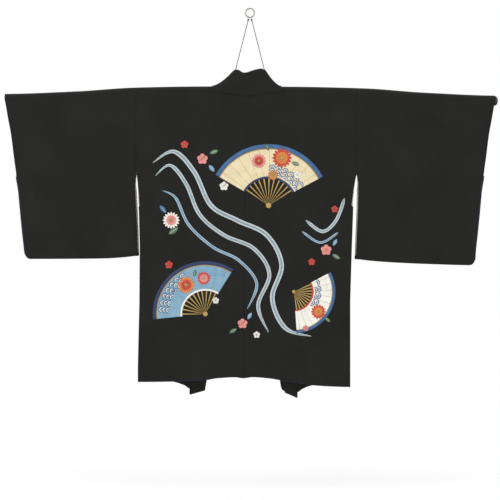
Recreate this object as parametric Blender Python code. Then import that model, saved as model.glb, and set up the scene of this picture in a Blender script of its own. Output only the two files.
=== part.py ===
"""A lined haori spread on a hanger rod, seen from its back.

The frame has its origin at the centre of the hanging ring, +Z up and +X to the right as the back is
seen. The garment's back faces -Y and its fronts face +Y. All sizes are in metres.
Every piece of cloth is a thin wall: a middle surface worked out here and thickened by Solidify.
"""
import math

import bpy
from mathutils import Vector

# Cloth and seams
CLOTH = 0.0015            # lined silk, both layers together
COLLAR_CLOTH = 0.0030     # the collar band is folded double
LINING = 0.0010
GAP = 0.0003              # between neighbouring pieces
SEAM_GAP = 0.0004         # between body and sleeve
ROD_CLEARANCE = 0.0005    # between the rod and the cloth that lies on it

# Hanger rod, its droop towards the ends and its small tilt
ROD_RADIUS = 0.0125
ROD_HEIGHT = -0.2128
ROD_END = 0.645           # from the middle, both ways
ROD_JOINT = 0.220         # where the arms go into the middle length
ROD_TILT = 0.0035
ROD_DROOP = (             # from the middle, drop
    (0.00, 0.0000),
    (0.12, 0.0004),
    (0.31, 0.0042),
    (0.47, 0.0150),
    (0.68, 0.0225),
)
FOLD_RADIUS = ROD_RADIUS + ROD_CLEARANCE + CLOTH / 2
COLLAR_FOLD_RADIUS = ROD_RADIUS + ROD_CLEARANCE + COLLAR_CLOTH / 2

# The garment's own centre line leans a little from the ring's
CENTRE_LINE = (           # height, x
    (-1.00, -0.0175),
    (-0.21, -0.0090),
    (-0.15, -0.0030),
)

# Side edges of the body; tuck is how far the back layer's edge lies inside the front layer's
BODY_SIDE = (             # height, left, right, tuck
    (-1.010, -0.302, 0.270, 0.0),
    (-0.953, -0.302, 0.270, 0.0),
    (-0.780, -0.298, 0.270, 0.0),
    (-0.629, -0.297, 0.2745, 0.0),
    (-0.535, -0.2995, 0.278, 0.0),
    (-0.524, -0.3005, 0.278, 0.0),
    (-0.523, -0.3005, 0.277, 0.0040),
    (-0.478, -0.3025, 0.281, 0.0025),
    (-0.435, -0.3055, 0.287, 0.0),
    (-0.200, -0.3060, 0.288, 0.0),
)
SLEEVE_END = -0.435       # lower end of the sleeve's seam
GUSSET_TOP = -0.524
BODY_HALF = 0.2955

# Neck and fronts
NECK_HALF = 0.094
NECK_DROP = 0.0117        # of the back neckline, below the rod's middle
FRONT_HALF_HEM = 0.146    # collar seam to the centre line, at the hem
FRONT_END = -1.02         # height down to which the collar's seam is straight

# Hems: heights at the side, and how they leave that height towards the middle
HEM_HEIGHT = -0.996       # usual height of the hem, by which the rows are spaced
BACK_HEM = (              # from centre 0 to side 1, left height, right height
    (0.00, -0.9850, -0.9850),
    (0.08, -0.9825, -0.9822),
    (0.25, -0.9850, -0.9860),
    (0.38, -0.9910, -0.9925),
    (0.70, -0.9945, -1.0050),
    (1.00, -0.9955, -1.0090),
)
FRONT_HEM = (             # from collar seam 0 to side 1, left height, right height
    (0.00, -1.0150, -1.0250),
    (0.09, -1.0070, -1.0170),
    (0.25, -0.9990, -1.0080),
    (0.42, -0.9945, -1.0040),
    (0.75, -0.9945, -1.0070),
    (1.00, -0.9960, -1.0095),
)
TAB_SEAM = (-1.0314, -1.0405)     # left, right: lowest point of the collar, at its seam side
TAB_FREE_RISE = (0.0108, 0.0135)  # left, right: how much higher its free corner is
TAB_NARROWING = (0.0, 0.008)      # left, right: how much narrower the band ends than the table says

# Depth between the layers, half of it
HALF_DEPTH = (            # height, at the side edges, at the middle
    (-1.010, 0.0140, 0.0205),
    (-0.524, 0.0105, 0.0200),
    (-0.435, FOLD_RADIUS, 0.0180),
    (-0.300, FOLD_RADIUS, 0.0150),
    (-0.213, FOLD_RADIUS, FOLD_RADIUS),
)
EDGE_SHARE = 0.35         # share of a panel's width over which it comes in to its edge

# Largest soft folds: they run down from a height and are deepest at the hem
BODY_FOLDS = (            # layer, x, width, depth at the hem, start height
    ("back", -0.215, 0.040, 0.0040, -0.45),
    ("back", -0.120, 0.055, -0.0035, -0.55),
    ("back", 0.075, 0.050, 0.0030, -0.60),
    ("back", 0.190, 0.045, -0.0045, -0.42),
    ("front", -0.240, 0.035, 0.0040, -0.50),
    ("front", -0.185, 0.030, -0.0040, -0.40),
    ("front", 0.165, 0.032, 0.0045, -0.45),
    ("front", 0.225, 0.030, -0.0035, -0.60),
)

# Collar: where its free edge lies from its seam. Place runs 0 at the back's middle, 1 where it
# reaches the rod, 2 in front of the rod, 3 at the hem
COLLAR_TURN = (           # place, inward, outward, up, lean to the right, clearance at the seam
    (0.00, 0.000, -0.0030, 0.0690, 0.000, 0.0005),
    (0.50, 0.026, -0.0020, 0.0650, 0.006, 0.0010),
    (0.80, 0.044, -0.0010, 0.0620, 0.009, 0.0015),
    (1.00, 0.055, 0.0030, 0.0580, 0.009, 0.0017),
    (1.50, 0.041, 0.0000, 0.0285, 0.005, 0.0014),
    (2.00, 0.043, 0.0150, 0.0270, 0.000, 0.0013),
    (2.06, 0.048, 0.0210, 0.0080, 0.000, 0.0010),
    (2.16, 0.052, 0.0180, 0.0000, 0.000, 0.0008),
    (2.50, 0.053, 0.0110, 0.0000, 0.000, 0.0007),
    (2.90, 0.046, 0.0110, 0.0000, 0.000, 0.0007),
    (3.00, 0.041, 0.0120, 0.0000, 0.000, 0.0007),
)
COLLAR_HOLLOW = 0.0050    # the band is hollow across, where it stands up at the neck
COLLAR_DIP = 0.0080       # the top edge sags a little left of the middle
COLLAR_DIP_X = -0.0150
COLLAR_DIP_WIDTH = 0.0195
FRONT_PLACES = 0.97       # of the places, from the rod to the front hem; the tab has the rest
TAB_PLACE = 2.95          # the tab's free corner starts to rise here
COLLAR_CELLS = 4

# Gusset: half its cut width, at its top and at the hem
GUSSET_HALF_TOP = 0.0100
GUSSET_HALF_HEM = 0.0320
GUSSET_BOW = 0.9          # of the depth that its cut width would allow
GUSSET_CELLS = 6

# Sleeves
CUFF = (                  # height, distance of the outer edge from the ring's plane
    (-0.665, 0.6125),
    (-0.586, 0.6190),
    (-0.500, 0.6260),
    (-0.435, 0.6305),
    (-0.392, 0.6360),
    (-0.327, 0.6440),
    (-0.284, 0.6520),
    (-0.251, 0.6575),
    (-0.225, 0.6620),
)
FURI = (                  # height, left, right: the open inner edge below the seam
    (-0.665, -0.3025, 0.2855),
    (-0.586, -0.3045, 0.2890),
    (-0.521, -0.3075, 0.2915),
    (-0.462, -0.3105, 0.2925),
    (-0.436, -0.3070, 0.2890),
    (-0.200, -0.3065, 0.2885),
)
FURI_LIP = 0.0030         # how far the front layer reaches past the back layer at the furi
SLEEVE_BOTTOM = (         # from inner edge 0 to outer edge 1, left, right
    (0.00, -0.6560, -0.6650),
    (0.12, -0.6595, -0.6690),
    (0.30, -0.6630, -0.6735),
    (0.60, -0.6640, -0.6780),
    (1.00, -0.6645, -0.6815),
)
SLEEVE_SPAN = 0.305       # width of a sleeve near its bottom
CORNER_RADIUS = 0.014     # lower outer corner of a sleeve
CUFF_END = -0.440         # the outer edge is open above and sewn below
SLEEVE_DEPTH = (          # height, half the depth between the layers
    (-0.690, 0.0050),
    (-0.640, 0.0065),
    (-0.550, 0.0100),
    (-0.435, FOLD_RADIUS),
    (-0.200, FOLD_RADIUS),
)
SEWN_DEPTH = 0.0045       # half the depth at the sewn outer edge
SEAM_BULGE = 0.0025
SLEEVE_CURL = 0.030       # the lower outer part turns towards the fronts
SLEEVE_FOLDS = (          # side, share of the width, width, depth at the bottom
    ("left", 0.28, 0.16, 0.0060),
    ("left", 0.58, 0.14, -0.0070),
    ("right", 0.22, 0.13, -0.0060),
    ("right", 0.52, 0.17, 0.0075),
)
LINING_WIDTH = 0.014
LINING_INSET = 0.0004     # from the edge of the layer it lies on
LINING_END = 0.985        # share of the sleeve's height
SLIT_CELLS = 4

# Hanger
CAP_PROFILES = {          # along from the rod's end, radius
    "left": (
        (0.0, ROD_RADIUS),
        (0.0090, ROD_RADIUS),
        (0.0128, 0.0113),
        (0.0146, 0.0081),
        (0.0150, 0.0038),
    ),
    "right": (
        (0.0, ROD_RADIUS),
        (0.0150, ROD_RADIUS),
        (0.0160, 0.0134),
        (0.0185, 0.0124),
        (0.0210, 0.0103),
        (0.0229, 0.0071),
        (0.0238, 0.0034),
    ),
}
CORD_SPREAD = 0.0507      # of the cords, at the rod
CORD_RADIUS = 0.0012
KNOT_CLEARANCE = 0.0008   # the knots' flat ends stand slanted on the rod and under the ring
UPPER_KNOT = 0.75         # the knot below the ring is this much thinner
KNOT_PROFILE = (          # along from the knot's end, radius
    (0.0, 0.0018),
    (0.0027, 0.0030),
    (0.0063, 0.0026),
    (0.0090, CORD_RADIUS),
)
RING_RADIUS = 0.012
RING_WIRE = 0.002

# Steps of the meshes
ARC_STEPS = 10
NECK_CELLS = 5
SHOULDER_CELLS = 8
SEAM_CELLS = 4            # rows along the sleeve's seam
SLIT_ROWS = 3             # rows from the seam's end to the gusset
SKIRT_CELLS = 11          # rows from the gusset to the hem
SEAM_SHARE = 0.47         # of a sleeve's height, at its seam's end
LIP_SHARE = 0.478
POCKET_SHARE = 0.53
POCKET_CELLS = 7
ROD_STEP = 0.032
SLEEVE_SHARES = (0.0, 0.12, 0.25, 0.38, 0.51, 0.64, 0.77, 0.88, 0.945, 0.98, 1.0)

# Colours
SILK_BLACK = (0.021, 0.021, 0.019)
LINING_IVORY = (0.62, 0.58, 0.48)
ROD_BLACK = (0.03, 0.03, 0.03)
CORD_GREY = (0.09, 0.08, 0.08)
RING_STEEL = (0.45, 0.45, 0.44)

SIDES = {"left": -1.0, "right": 1.0}


def interpolate(rows, key, column):
    """Read a table between its rows, on a straight line."""
    if (key - rows[0][0]) * (key - rows[-1][0]) >= 0:
        ends = sorted((rows[0], rows[-1]), key=lambda row: abs(row[0] - key))
        return ends[0][column]
    for low, high in zip(rows, rows[1:]):
        if low[0] <= key <= high[0]:
            share = (key - low[0]) / (high[0] - low[0])
            return low[column] + (high[column] - low[column]) * share
    return rows[-1][column]


def smooth(rows, key, column):
    """Read a table between its rows, with an even slope through each row."""
    keys = [row[0] for row in rows]
    if key <= keys[0]:
        return rows[0][column]
    if key >= keys[-1]:
        return rows[-1][column]
    index = max(i for i, value in enumerate(keys[:-1]) if value <= key)

    def slope(i):
        if i == 0 or i == len(rows) - 1:
            return 0.0
        before = (rows[i][column] - rows[i - 1][column]) / (keys[i] - keys[i - 1])
        after = (rows[i + 1][column] - rows[i][column]) / (keys[i + 1] - keys[i])
        if before * after <= 0:
            return 0.0
        return 2 * before * after / (before + after)

    span = keys[index + 1] - keys[index]
    t = (key - keys[index]) / span
    start = rows[index][column]
    end = rows[index + 1][column]
    return ((2 * t ** 3 - 3 * t ** 2 + 1) * start + (t ** 3 - 2 * t ** 2 + t) * span * slope(index)
            + (3 * t ** 2 - 2 * t ** 3) * end + (t ** 3 - t ** 2) * span * slope(index + 1))


def ramp(value):
    """Rise softly from 0 to 1."""
    value = min(1.0, max(0.0, value))
    return value * value * (3 - 2 * value)


def side_column(side):
    return 1 if side == "left" else 2


def rod_height(x):
    """Height of the rod's middle at x."""
    return ROD_HEIGHT - smooth(ROD_DROOP, abs(x), 1) - ROD_TILT * x


def centre_x(z):
    return interpolate(CENTRE_LINE, z, 1)


def body_side_x(side, layer, z):
    x = interpolate(BODY_SIDE, z, side_column(side))
    if layer == "back":
        x -= SIDES[side] * interpolate(BODY_SIDE, z, 3)
    return x


def seam_x(side):
    """The body's edge at the sleeve's seam."""
    return interpolate(BODY_SIDE, ROD_HEIGHT, side_column(side))


def body_depth(layer, x, z):
    """The y of a body layer's middle surface."""
    side = "left" if x < centre_x(z) else "right"
    edge = interpolate(BODY_SIDE, z, side_column(side))
    inset = abs(edge - x) / (BODY_HALF * EDGE_SHARE)
    at_side = interpolate(HALF_DEPTH, z, 1)
    at_middle = smooth(HALF_DEPTH, z, 2)
    depth = at_side + (at_middle - at_side) * ramp(inset)
    y = -depth if layer == "back" else depth
    for fold_layer, fold_x, width, height, start in BODY_FOLDS:
        if fold_layer == layer:
            reach = ramp((start - z) / (start + 1.0))
            y += height * reach * ramp(inset) * math.exp(-((x - fold_x) / width) ** 2)
    return y


def body_levels():
    """Shares of the way from the rod to the hem at which the body has a row."""
    way = ROD_HEIGHT - HEM_HEIGHT
    seam = (ROD_HEIGHT - SLEEVE_END) / way
    slit = (ROD_HEIGHT - GUSSET_TOP) / way
    levels = [seam * i / SEAM_CELLS for i in range(SEAM_CELLS)]
    levels += [seam + (slit - seam) * i / SLIT_ROWS for i in range(SLIT_ROWS)]
    levels += [slit - 0.001, slit + 0.002]
    levels += [slit + (1 - slit) * i / SKIRT_CELLS for i in range(1, SKIRT_CELLS + 1)]
    return levels


def mesh_object(name, points, faces, colour, roughness, metallic=0.0):
    """Make one named object with its own material."""
    mesh = bpy.data.meshes.new(name)
    mesh.from_pydata([tuple(point) for point in points], [], faces)
    mesh.update()
    item = bpy.data.objects.new(name, mesh)
    bpy.context.collection.objects.link(item)
    mesh.shade_smooth()
    paint(item, colour, roughness, metallic)
    return item


def paint(item, colour, roughness, metallic=0.0):
    material = bpy.data.materials.new(item.name + "_finish")
    material.use_nodes = True
    shader = material.node_tree.nodes["Principled BSDF"]
    shader.inputs["Base Color"].default_value = (*colour, 1.0)
    shader.inputs["Roughness"].default_value = roughness
    shader.inputs["Metallic"].default_value = metallic
    item.data.materials.append(material)


def thicken(item, thickness):
    """Turn a middle surface into a wall with closed rims."""
    solid = item.modifiers.new("wall", "SOLIDIFY")
    solid.thickness = thickness
    solid.offset = 0.0
    solid.use_even_offset = True
    solid.use_rim = True


class Sheet:
    """A middle surface made of shared points and cells between them."""

    def __init__(self):
        self.points = []
        self.index = {}
        self.faces = []

    def put(self, key, point):
        self.index[key] = len(self.points)
        self.points.append(Vector(point))

    def cell(self, *keys):
        if all(key in self.index for key in keys):
            self.faces.append([self.index[key] for key in keys])

    def over_rod(self, i):
        """Join the back's top row to the front's with cells along the arc over the rod."""
        chain = [("back", i, 0)] + [("arc", i, j) for j in range(1, ARC_STEPS)] + [("front", i, 0)]
        for (a, left, low), (b, same, high) in zip(chain, chain[1:]):
            self.cell((b, left, high), (b, left + 1, high), (a, left + 1, low), (a, left, low))

    def wall(self, name, thickness, colour, roughness, flip=False):
        faces = [face[::-1] if flip else face for face in self.faces]
        item = mesh_object(name, self.points, faces, colour, roughness)
        thicken(item, thickness)
        return item


def front_seam_x(side, share):
    """Where the collar's seam lies, from the rod 0 to the hem 1."""
    across = NECK_HALF + (FRONT_HALF_HEM - NECK_HALF) * share
    z = ROD_HEIGHT + share * (FRONT_END - ROD_HEIGHT)
    return centre_x(z) + SIDES[side] * across


def body_piece(side):
    """One length of cloth, from the back hem over the rod to the front hem."""
    sign = SIDES[side]
    column = side_column(side)
    levels = body_levels()
    sheet = Sheet()
    cells = NECK_CELLS + SHOULDER_CELLS
    neck_share = NECK_HALF / BODY_HALF

    def share_of(i):
        if i <= NECK_CELLS:
            return neck_share * i / NECK_CELLS
        return neck_share + (1 - neck_share) * (i - NECK_CELLS) / SHOULDER_CELLS

    for i in range(cells + 1):
        share = share_of(i)
        for j, level in enumerate(levels):
            top_x = centre_x(ROD_HEIGHT) + sign * BODY_HALF * share
            top = rod_height(top_x)
            if i < NECK_CELLS:
                top -= NECK_DROP * ramp(1 - i / NECK_CELLS)
            hem = smooth(BACK_HEM, share, column)
            z = top + (hem - top) * level
            inner = centre_x(z) + sign * GAP / 2
            outer = body_side_x(side, "back", z) if z < SLEEVE_END else seam_x(side)
            x = inner + (outer - inner) * share
            sheet.put(("back", i, j), (x, body_depth("back", x, z), z))
    for i in range(NECK_CELLS, cells + 1):
        x = sheet.points[sheet.index["back", i, 0]].x
        for j in range(1, ARC_STEPS):
            angle = math.pi * j / ARC_STEPS
            y = -FOLD_RADIUS * math.cos(angle)
            z = rod_height(x) + FOLD_RADIUS * math.sin(angle)
            sheet.put(("arc", i, j), (x, y, z))
        top = rod_height(x)
        share = (i - NECK_CELLS) / SHOULDER_CELLS
        for j, level in enumerate(levels):
            hem = smooth(FRONT_HEM, share, column)
            z = top + (hem - top) * level
            inner = front_seam_x(side, level)
            outer = body_side_x(side, "front", z) if z < SLEEVE_END else seam_x(side)
            front_x = inner + (outer - inner) * share if j else x
            sheet.put(("front", i, j), (front_x, body_depth("front", front_x, z), z))

    last = len(levels) - 1
    for i in range(cells):
        for j in range(last):
            for layer in ("back", "front"):
                corners = [(layer, i, j), (layer, i + 1, j), (layer, i + 1, j + 1), (layer, i, j + 1)]
                if layer == "front":
                    corners.reverse()
                sheet.cell(*corners)
        sheet.over_rod(i)
    return sheet.wall("body_" + side, CLOTH, SILK_BLACK, 0.85, flip=(side == "right"))


def gusset_piece(side):
    """A wedge folded inward between the back and the front, from under the arm to the hem."""
    sign = SIDES[side]
    levels = [level for level in body_levels() if body_row(side, "back", level) <= GUSSET_TOP]
    sheet = Sheet()
    for j, level in enumerate(levels):
        share = (level - levels[0]) / (1 - levels[0])
        half = GUSSET_HALF_TOP + (GUSSET_HALF_HEM - GUSSET_HALF_TOP) * share
        ends = []
        for layer in ("back", "front"):
            z = body_row(side, layer, level)
            x = body_side_x(side, layer, z) - sign * CLOTH / 2
            ends.append(Vector((x, body_depth(layer, x, z), z)))
        inner_half = (ends[1].y - ends[0].y) / 2 - CLOTH / 2 - GAP
        inward = math.sqrt(max(half ** 2 - inner_half ** 2, 0.0)) * GUSSET_BOW
        lean = math.atan2(2 * inward, inner_half)
        reach = inner_half - CLOTH / 2 * math.sin(lean) - 0.0001
        middle = (ends[0] + ends[1]) / 2
        for i in range(GUSSET_CELLS + 1):
            across = 2 * i / GUSSET_CELLS - 1
            z = ends[0].z + (ends[1].z - ends[0].z) * (across + 1) / 2
            x = middle.x - sign * inward * (1 - across ** 2)
            sheet.put((i, j), (x, middle.y + reach * across, z))
    for i in range(GUSSET_CELLS):
        for j in range(len(levels) - 1):
            sheet.cell((i, j), (i + 1, j), (i + 1, j + 1), (i, j + 1))
    return sheet.wall("gusset_" + side, CLOTH, SILK_BLACK, 0.85, flip=(side == "left"))


def body_row(side, layer, level):
    """Height of a row at the body's side edge."""
    top = rod_height(seam_x(side))
    table = BACK_HEM if layer == "back" else FRONT_HEM
    return top + (smooth(table, 1.0, side_column(side)) - top) * level


def collar_stations(side):
    """Seam points of half the collar with their places, from the back's middle to the hem."""
    sign = SIDES[side]
    column = side_column(side)
    stations = []
    neck_share = NECK_HALF / BODY_HALF
    for i in range(NECK_CELLS + 1):
        share = neck_share * i / NECK_CELLS
        top_x = centre_x(ROD_HEIGHT) + sign * BODY_HALF * share
        z = rod_height(top_x) - NECK_DROP * ramp(1 - i / NECK_CELLS)
        inner = centre_x(z)
        x = inner + (seam_x(side) - inner) * share
        stations.append((i / NECK_CELLS, Vector((x, -COLLAR_FOLD_RADIUS, z))))
    neck_x = stations[-1][1].x
    stations[-1] = (1.0, Vector((neck_x, -COLLAR_FOLD_RADIUS, rod_height(neck_x))))
    for j in range(1, ARC_STEPS):
        angle = math.pi * j / ARC_STEPS
        y = -COLLAR_FOLD_RADIUS * math.cos(angle)
        z = rod_height(neck_x) + COLLAR_FOLD_RADIUS * math.sin(angle)
        stations.append((1 + j / ARC_STEPS, Vector((neck_x, y, z))))
    top = rod_height(neck_x)
    hem = FRONT_HEM[0][column]
    for j, level in enumerate(body_levels()):
        z = top + (hem - top) * level
        x = front_seam_x(side, level) if j else neck_x
        y = max(body_depth("front", x, z), COLLAR_FOLD_RADIUS)
        stations.append((2 + level * FRONT_PLACES, Vector((x, y, z))))
    tab_x = front_seam_x(side, 1.0)
    tab_z = TAB_SEAM[column - 1]
    stations.append((3.0, Vector((tab_x, body_depth("front", tab_x, hem), tab_z))))
    return stations


def collar_point(side, place, seam, share):
    """A point across the band, from its seam 0 to its free edge 1."""
    sign = SIDES[side]
    inward = smooth(COLLAR_TURN, place, 1)
    outward = smooth(COLLAR_TURN, place, 2)
    up = smooth(COLLAR_TURN, place, 3)
    lean = smooth(COLLAR_TURN, place, 4)
    clearance = smooth(COLLAR_TURN, place, 5)
    inside = clearance * ramp((place - 0.6) / 0.4)
    above = clearance * ramp((1.4 - place) / 0.4)
    seam = seam + Vector((-sign * inside, 0.0, above))
    tab = ramp((place - TAB_PLACE) / (3 - TAB_PLACE))
    up += TAB_FREE_RISE[side_column(side) - 1] * tab
    inward -= TAB_NARROWING[side_column(side) - 1] * tab
    point = seam + Vector((lean - sign * inward, outward, up)) * share
    standing = ramp(place / 0.8) * ramp((2.1 - place) / 0.3)
    point.z -= COLLAR_HOLLOW * standing * 4 * share * (1 - share)
    sag = math.exp(-((point.x - COLLAR_DIP_X) / COLLAR_DIP_WIDTH) ** 2)
    point.z -= COLLAR_DIP * sag * share ** 2 * ramp((1.1 - place) / 0.3)
    return point


def collar_piece():
    """One band from the left hem, round the neck, to the right hem."""
    left = collar_stations("left")
    right = collar_stations("right")
    rows = [("left", place, seam) for place, seam in reversed(left)]
    rows += [("right", place, seam) for place, seam in right[1:]]
    sheet = Sheet()
    for j, (side, place, seam) in enumerate(rows):
        for i in range(COLLAR_CELLS + 1):
            sheet.put((i, j), collar_point(side, place, seam, i / COLLAR_CELLS))
    for i in range(COLLAR_CELLS):
        for j in range(len(rows) - 1):
            sheet.cell((i, j), (i, j + 1), (i + 1, j + 1), (i + 1, j))
    return sheet.wall("collar", COLLAR_CLOTH, SILK_BLACK, 0.85)


def sleeve_levels():
    """Shares of the way from the rod to a sleeve's bottom, with close rows at the seam's end."""
    shares = [SEAM_SHARE * i / SEAM_CELLS for i in range(SEAM_CELLS + 1)]
    shares += [LIP_SHARE, POCKET_SHARE]
    shares += [POCKET_SHARE + (1 - POCKET_SHARE) * i / POCKET_CELLS for i in range(1, POCKET_CELLS + 1)]
    return shares


def sleeve_point(side, layer, share, level):
    """A point of a sleeve's middle surface, share across and level down."""
    sign = SIDES[side]
    column = side_column(side)
    top_x = seam_x(side) + sign * SEAM_GAP
    top_x += (sign * CUFF[-1][1] - top_x) * share
    top = rod_height(top_x)
    bottom = smooth(SLEEVE_BOTTOM, share, column) + SEAM_BULGE + CLOTH / 2
    corner = max(0.0, share - (1 - CORNER_RADIUS / SLEEVE_SPAN)) * SLEEVE_SPAN
    bottom += CORNER_RADIUS - math.sqrt(max(CORNER_RADIUS ** 2 - corner ** 2, 0.0))
    z = top + (bottom - top) * level
    inner = interpolate(FURI, z, column)
    if z >= SLEEVE_END - 0.0005:
        inner = seam_x(side) + sign * SEAM_GAP
    elif layer == "front":
        inner -= sign * FURI_LIP * ramp((SLEEVE_END - z) / 0.05)
    sewn = ramp((CUFF_END - z) / 0.05)
    outer = sign * (smooth(CUFF, z, 1) - (SEAM_BULGE + CLOTH / 2) * sewn)
    x = inner + (outer - inner) * share
    depth = interpolate(SLEEVE_DEPTH, z, 1)
    if z < SLEEVE_END:
        depth += (SEWN_DEPTH - depth) * ramp((share - 0.85) / 0.15) * ramp((SLEEVE_END - z) / 0.04)
    y = -depth if layer == "back" else depth
    down = ramp((top - z) / (top + 0.67))
    y += SLEEVE_CURL * down * down * ramp((share - 0.55) / 0.45)
    for fold_side, place, width, height in SLEEVE_FOLDS:
        if fold_side == side:
            y += height * down * math.exp(-((share - place) / width) ** 2) * ramp(share / 0.15)
    return Vector((x, y, z))


def sleeve_piece(side):
    """Folded over the rod, sewn along the bottom and along the outer edge below the cuff."""
    sign = SIDES[side]
    levels = sleeve_levels()
    last = len(levels) - 1
    columns = len(SLEEVE_SHARES) - 1
    sheet = Sheet()
    for i, share in enumerate(SLEEVE_SHARES):
        for j, level in enumerate(levels):
            for layer in ("back", "front"):
                sheet.put((layer, i, j), sleeve_point(side, layer, share, level))
        top = sheet.points[sheet.index["back", i, 0]]
        for j in range(1, ARC_STEPS):
            angle = math.pi * j / ARC_STEPS
            y = -FOLD_RADIUS * math.cos(angle)
            sheet.put(("arc", i, j), (top.x, y, top.z + FOLD_RADIUS * math.sin(angle)))
        pair = [sheet.points[sheet.index[layer, i, last]] for layer in ("back", "front")]
        middle = (pair[0] + pair[1]) / 2
        middle.z -= SEAM_BULGE
        if i == columns:
            middle.x += sign * SEAM_BULGE * 0.7
            middle.z += SEAM_BULGE * 0.3
        sheet.put(("under", i, 0), middle)
    closed = [j for j in range(last) if sheet.points[sheet.index["back", columns, j]].z < CUFF_END]
    for j in closed:
        pair = [sheet.points[sheet.index[layer, columns, j]] for layer in ("back", "front")]
        middle = (pair[0] + pair[1]) / 2
        middle.x += sign * SEAM_BULGE
        sheet.put(("outer", 0, j), middle)
    sheet.index["outer", 0, last] = sheet.index["under", columns, 0]

    for i in range(columns):
        for j in range(last):
            sheet.cell(("back", i, j), ("back", i + 1, j), ("back", i + 1, j + 1), ("back", i, j + 1))
            sheet.cell(("front", i, j + 1), ("front", i + 1, j + 1), ("front", i + 1, j), ("front", i, j))
        sheet.over_rod(i)
        sheet.cell(("back", i, last), ("back", i + 1, last), ("under", i + 1, 0), ("under", i, 0))
        sheet.cell(("under", i, 0), ("under", i + 1, 0), ("front", i + 1, last), ("front", i, last))
    for j in closed:
        sheet.cell(("back", columns, j), ("outer", 0, j), ("outer", 0, j + 1), ("back", columns, j + 1))
        sheet.cell(("outer", 0, j), ("front", columns, j), ("front", columns, j + 1), ("outer", 0, j + 1))
    return sheet.wall("sleeve_" + side, CLOTH, SILK_BLACK, 0.85, flip=(side == "right"))


def sleeve_lining_piece(side):
    """The pale lining that shows inside the open inner edge, on the front layer."""
    levels = [min(level, LINING_END) for level in sleeve_levels() if level >= LIP_SHARE]
    inset = Vector((0.0, CLOTH / 2 + GAP + LINING / 2, 0.0))
    sheet = Sheet()
    for j, level in enumerate(levels):
        edge = sleeve_point(side, "front", 0.0, level)
        along = sleeve_point(side, "front", SLEEVE_SHARES[1], level) - edge
        along /= abs(along.x)
        for i, distance in enumerate((LINING_INSET, LINING_INSET + LINING_WIDTH)):
            sheet.put((i, j), edge + along * distance - inset)
    for j in range(len(levels) - 1):
        sheet.cell((0, j), (1, j), (1, j + 1), (0, j + 1))
    return sheet.wall("sleeve_lining_" + side, LINING, LINING_IVORY, 0.7, flip=(side == "left"))


def body_lining_piece(side):
    """The body's pale lining that shows where the side is open below the sleeve."""
    sign = SIDES[side]
    top = SLEEVE_END - 0.005
    bottom = GUSSET_TOP + 0.0015
    inset = CLOTH / 2 + GAP + LINING / 2
    sheet = Sheet()
    for j in range(SLIT_CELLS + 1):
        z = top + (bottom - top) * j / SLIT_CELLS
        edge = body_side_x(side, "front", z)
        y = body_depth("front", edge, z) - inset
        for i, distance in enumerate((LINING_INSET, LINING_INSET + LINING_WIDTH)):
            sheet.put((i, j), (edge - sign * distance, y, z))
    for j in range(SLIT_CELLS):
        sheet.cell((0, j), (1, j), (1, j + 1), (0, j + 1))
    return sheet.wall("body_lining_" + side, LINING, LINING_IVORY, 0.7, flip=(side == "right"))


def tube(name, points, radii, colour, roughness, resolution, metallic=0.0):
    """A round bar along points, with a radius at each, and filled ends."""
    curve = bpy.data.curves.new(name, "CURVE")
    curve.dimensions = "3D"
    curve.bevel_depth = 1.0
    curve.bevel_resolution = resolution
    curve.use_fill_caps = True
    spline = curve.splines.new("POLY")
    spline.points.add(len(points) - 1)
    for slot, point, radius in zip(spline.points, points, radii):
        slot.co = (*point, 1.0)
        slot.radius = radius
    item = bpy.data.objects.new(name, curve)
    bpy.context.collection.objects.link(item)
    paint(item, colour, roughness, metallic)
    return item


def rod_point(x):
    return Vector((x, 0.0, rod_height(x)))


def rod_length(name, start, end):
    """One of the three lengths of the rod."""
    cells = round((end - start) / ROD_STEP)
    points = [rod_point(start + (end - start) * i / cells) for i in range(cells + 1)]
    return tube(name, points, [ROD_RADIUS] * len(points), ROD_BLACK, 0.4, 4)


def rod_cap(side):
    """A plug on the rod's end, domed; the right one widens outside the cuff."""
    sign = SIDES[side]
    start = sign * (ROD_END + GAP)
    profile = CAP_PROFILES[side]
    points = [rod_point(start + sign * along) for along, radius in profile]
    return tube("rod_cap_" + side, points, [radius for along, radius in profile], ROD_BLACK, 0.35, 4)


def hanger_cord(side):
    """A taut cord from a knot on the rod up to a knot below the ring."""
    sign = SIDES[side]
    foot_x = sign * CORD_SPREAD
    foot = Vector((foot_x, 0.0, rod_height(foot_x) + ROD_RADIUS + GAP))
    up = -foot.normalized()
    length = foot.length - RING_RADIUS - RING_WIRE - GAP
    foot += up * KNOT_CLEARANCE
    lower = [(along, radius) for along, radius in KNOT_PROFILE]
    end = length - KNOT_CLEARANCE
    upper = [(end - along, max(radius * UPPER_KNOT, CORD_RADIUS)) for along, radius in KNOT_PROFILE]
    rows = lower + upper[::-1]
    points = [foot + up * along for along, radius in rows]
    return tube("hanger_cord_" + side, points, [radius for along, radius in rows], CORD_GREY, 0.7, 2)


def hanging_ring():
    bpy.ops.mesh.primitive_torus_add(major_segments=28, minor_segments=8, major_radius=RING_RADIUS,
                                     minor_radius=RING_WIRE, rotation=(math.pi / 2, 0.0, 0.0))
    item = bpy.context.object
    item.name = "hanging_ring"
    item.data.name = "hanging_ring"
    item.data.shade_smooth()
    paint(item, RING_STEEL, 0.35, 0.9)
    return item


def main():
    for item in list(bpy.data.objects):
        bpy.data.objects.remove(item, do_unlink=True)
    for side in SIDES:
        body_piece(side)
        gusset_piece(side)
        sleeve_piece(side)
        sleeve_lining_piece(side)
        body_lining_piece(side)
        rod_cap(side)
        hanger_cord(side)
    collar_piece()
    rod_length("rod_arm_left", -ROD_END, -ROD_JOINT - GAP)
    rod_length("hanger_rod", -ROD_JOINT, ROD_JOINT)
    rod_length("rod_arm_right", ROD_JOINT + GAP, ROD_END)
    hanging_ring()


main()
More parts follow.
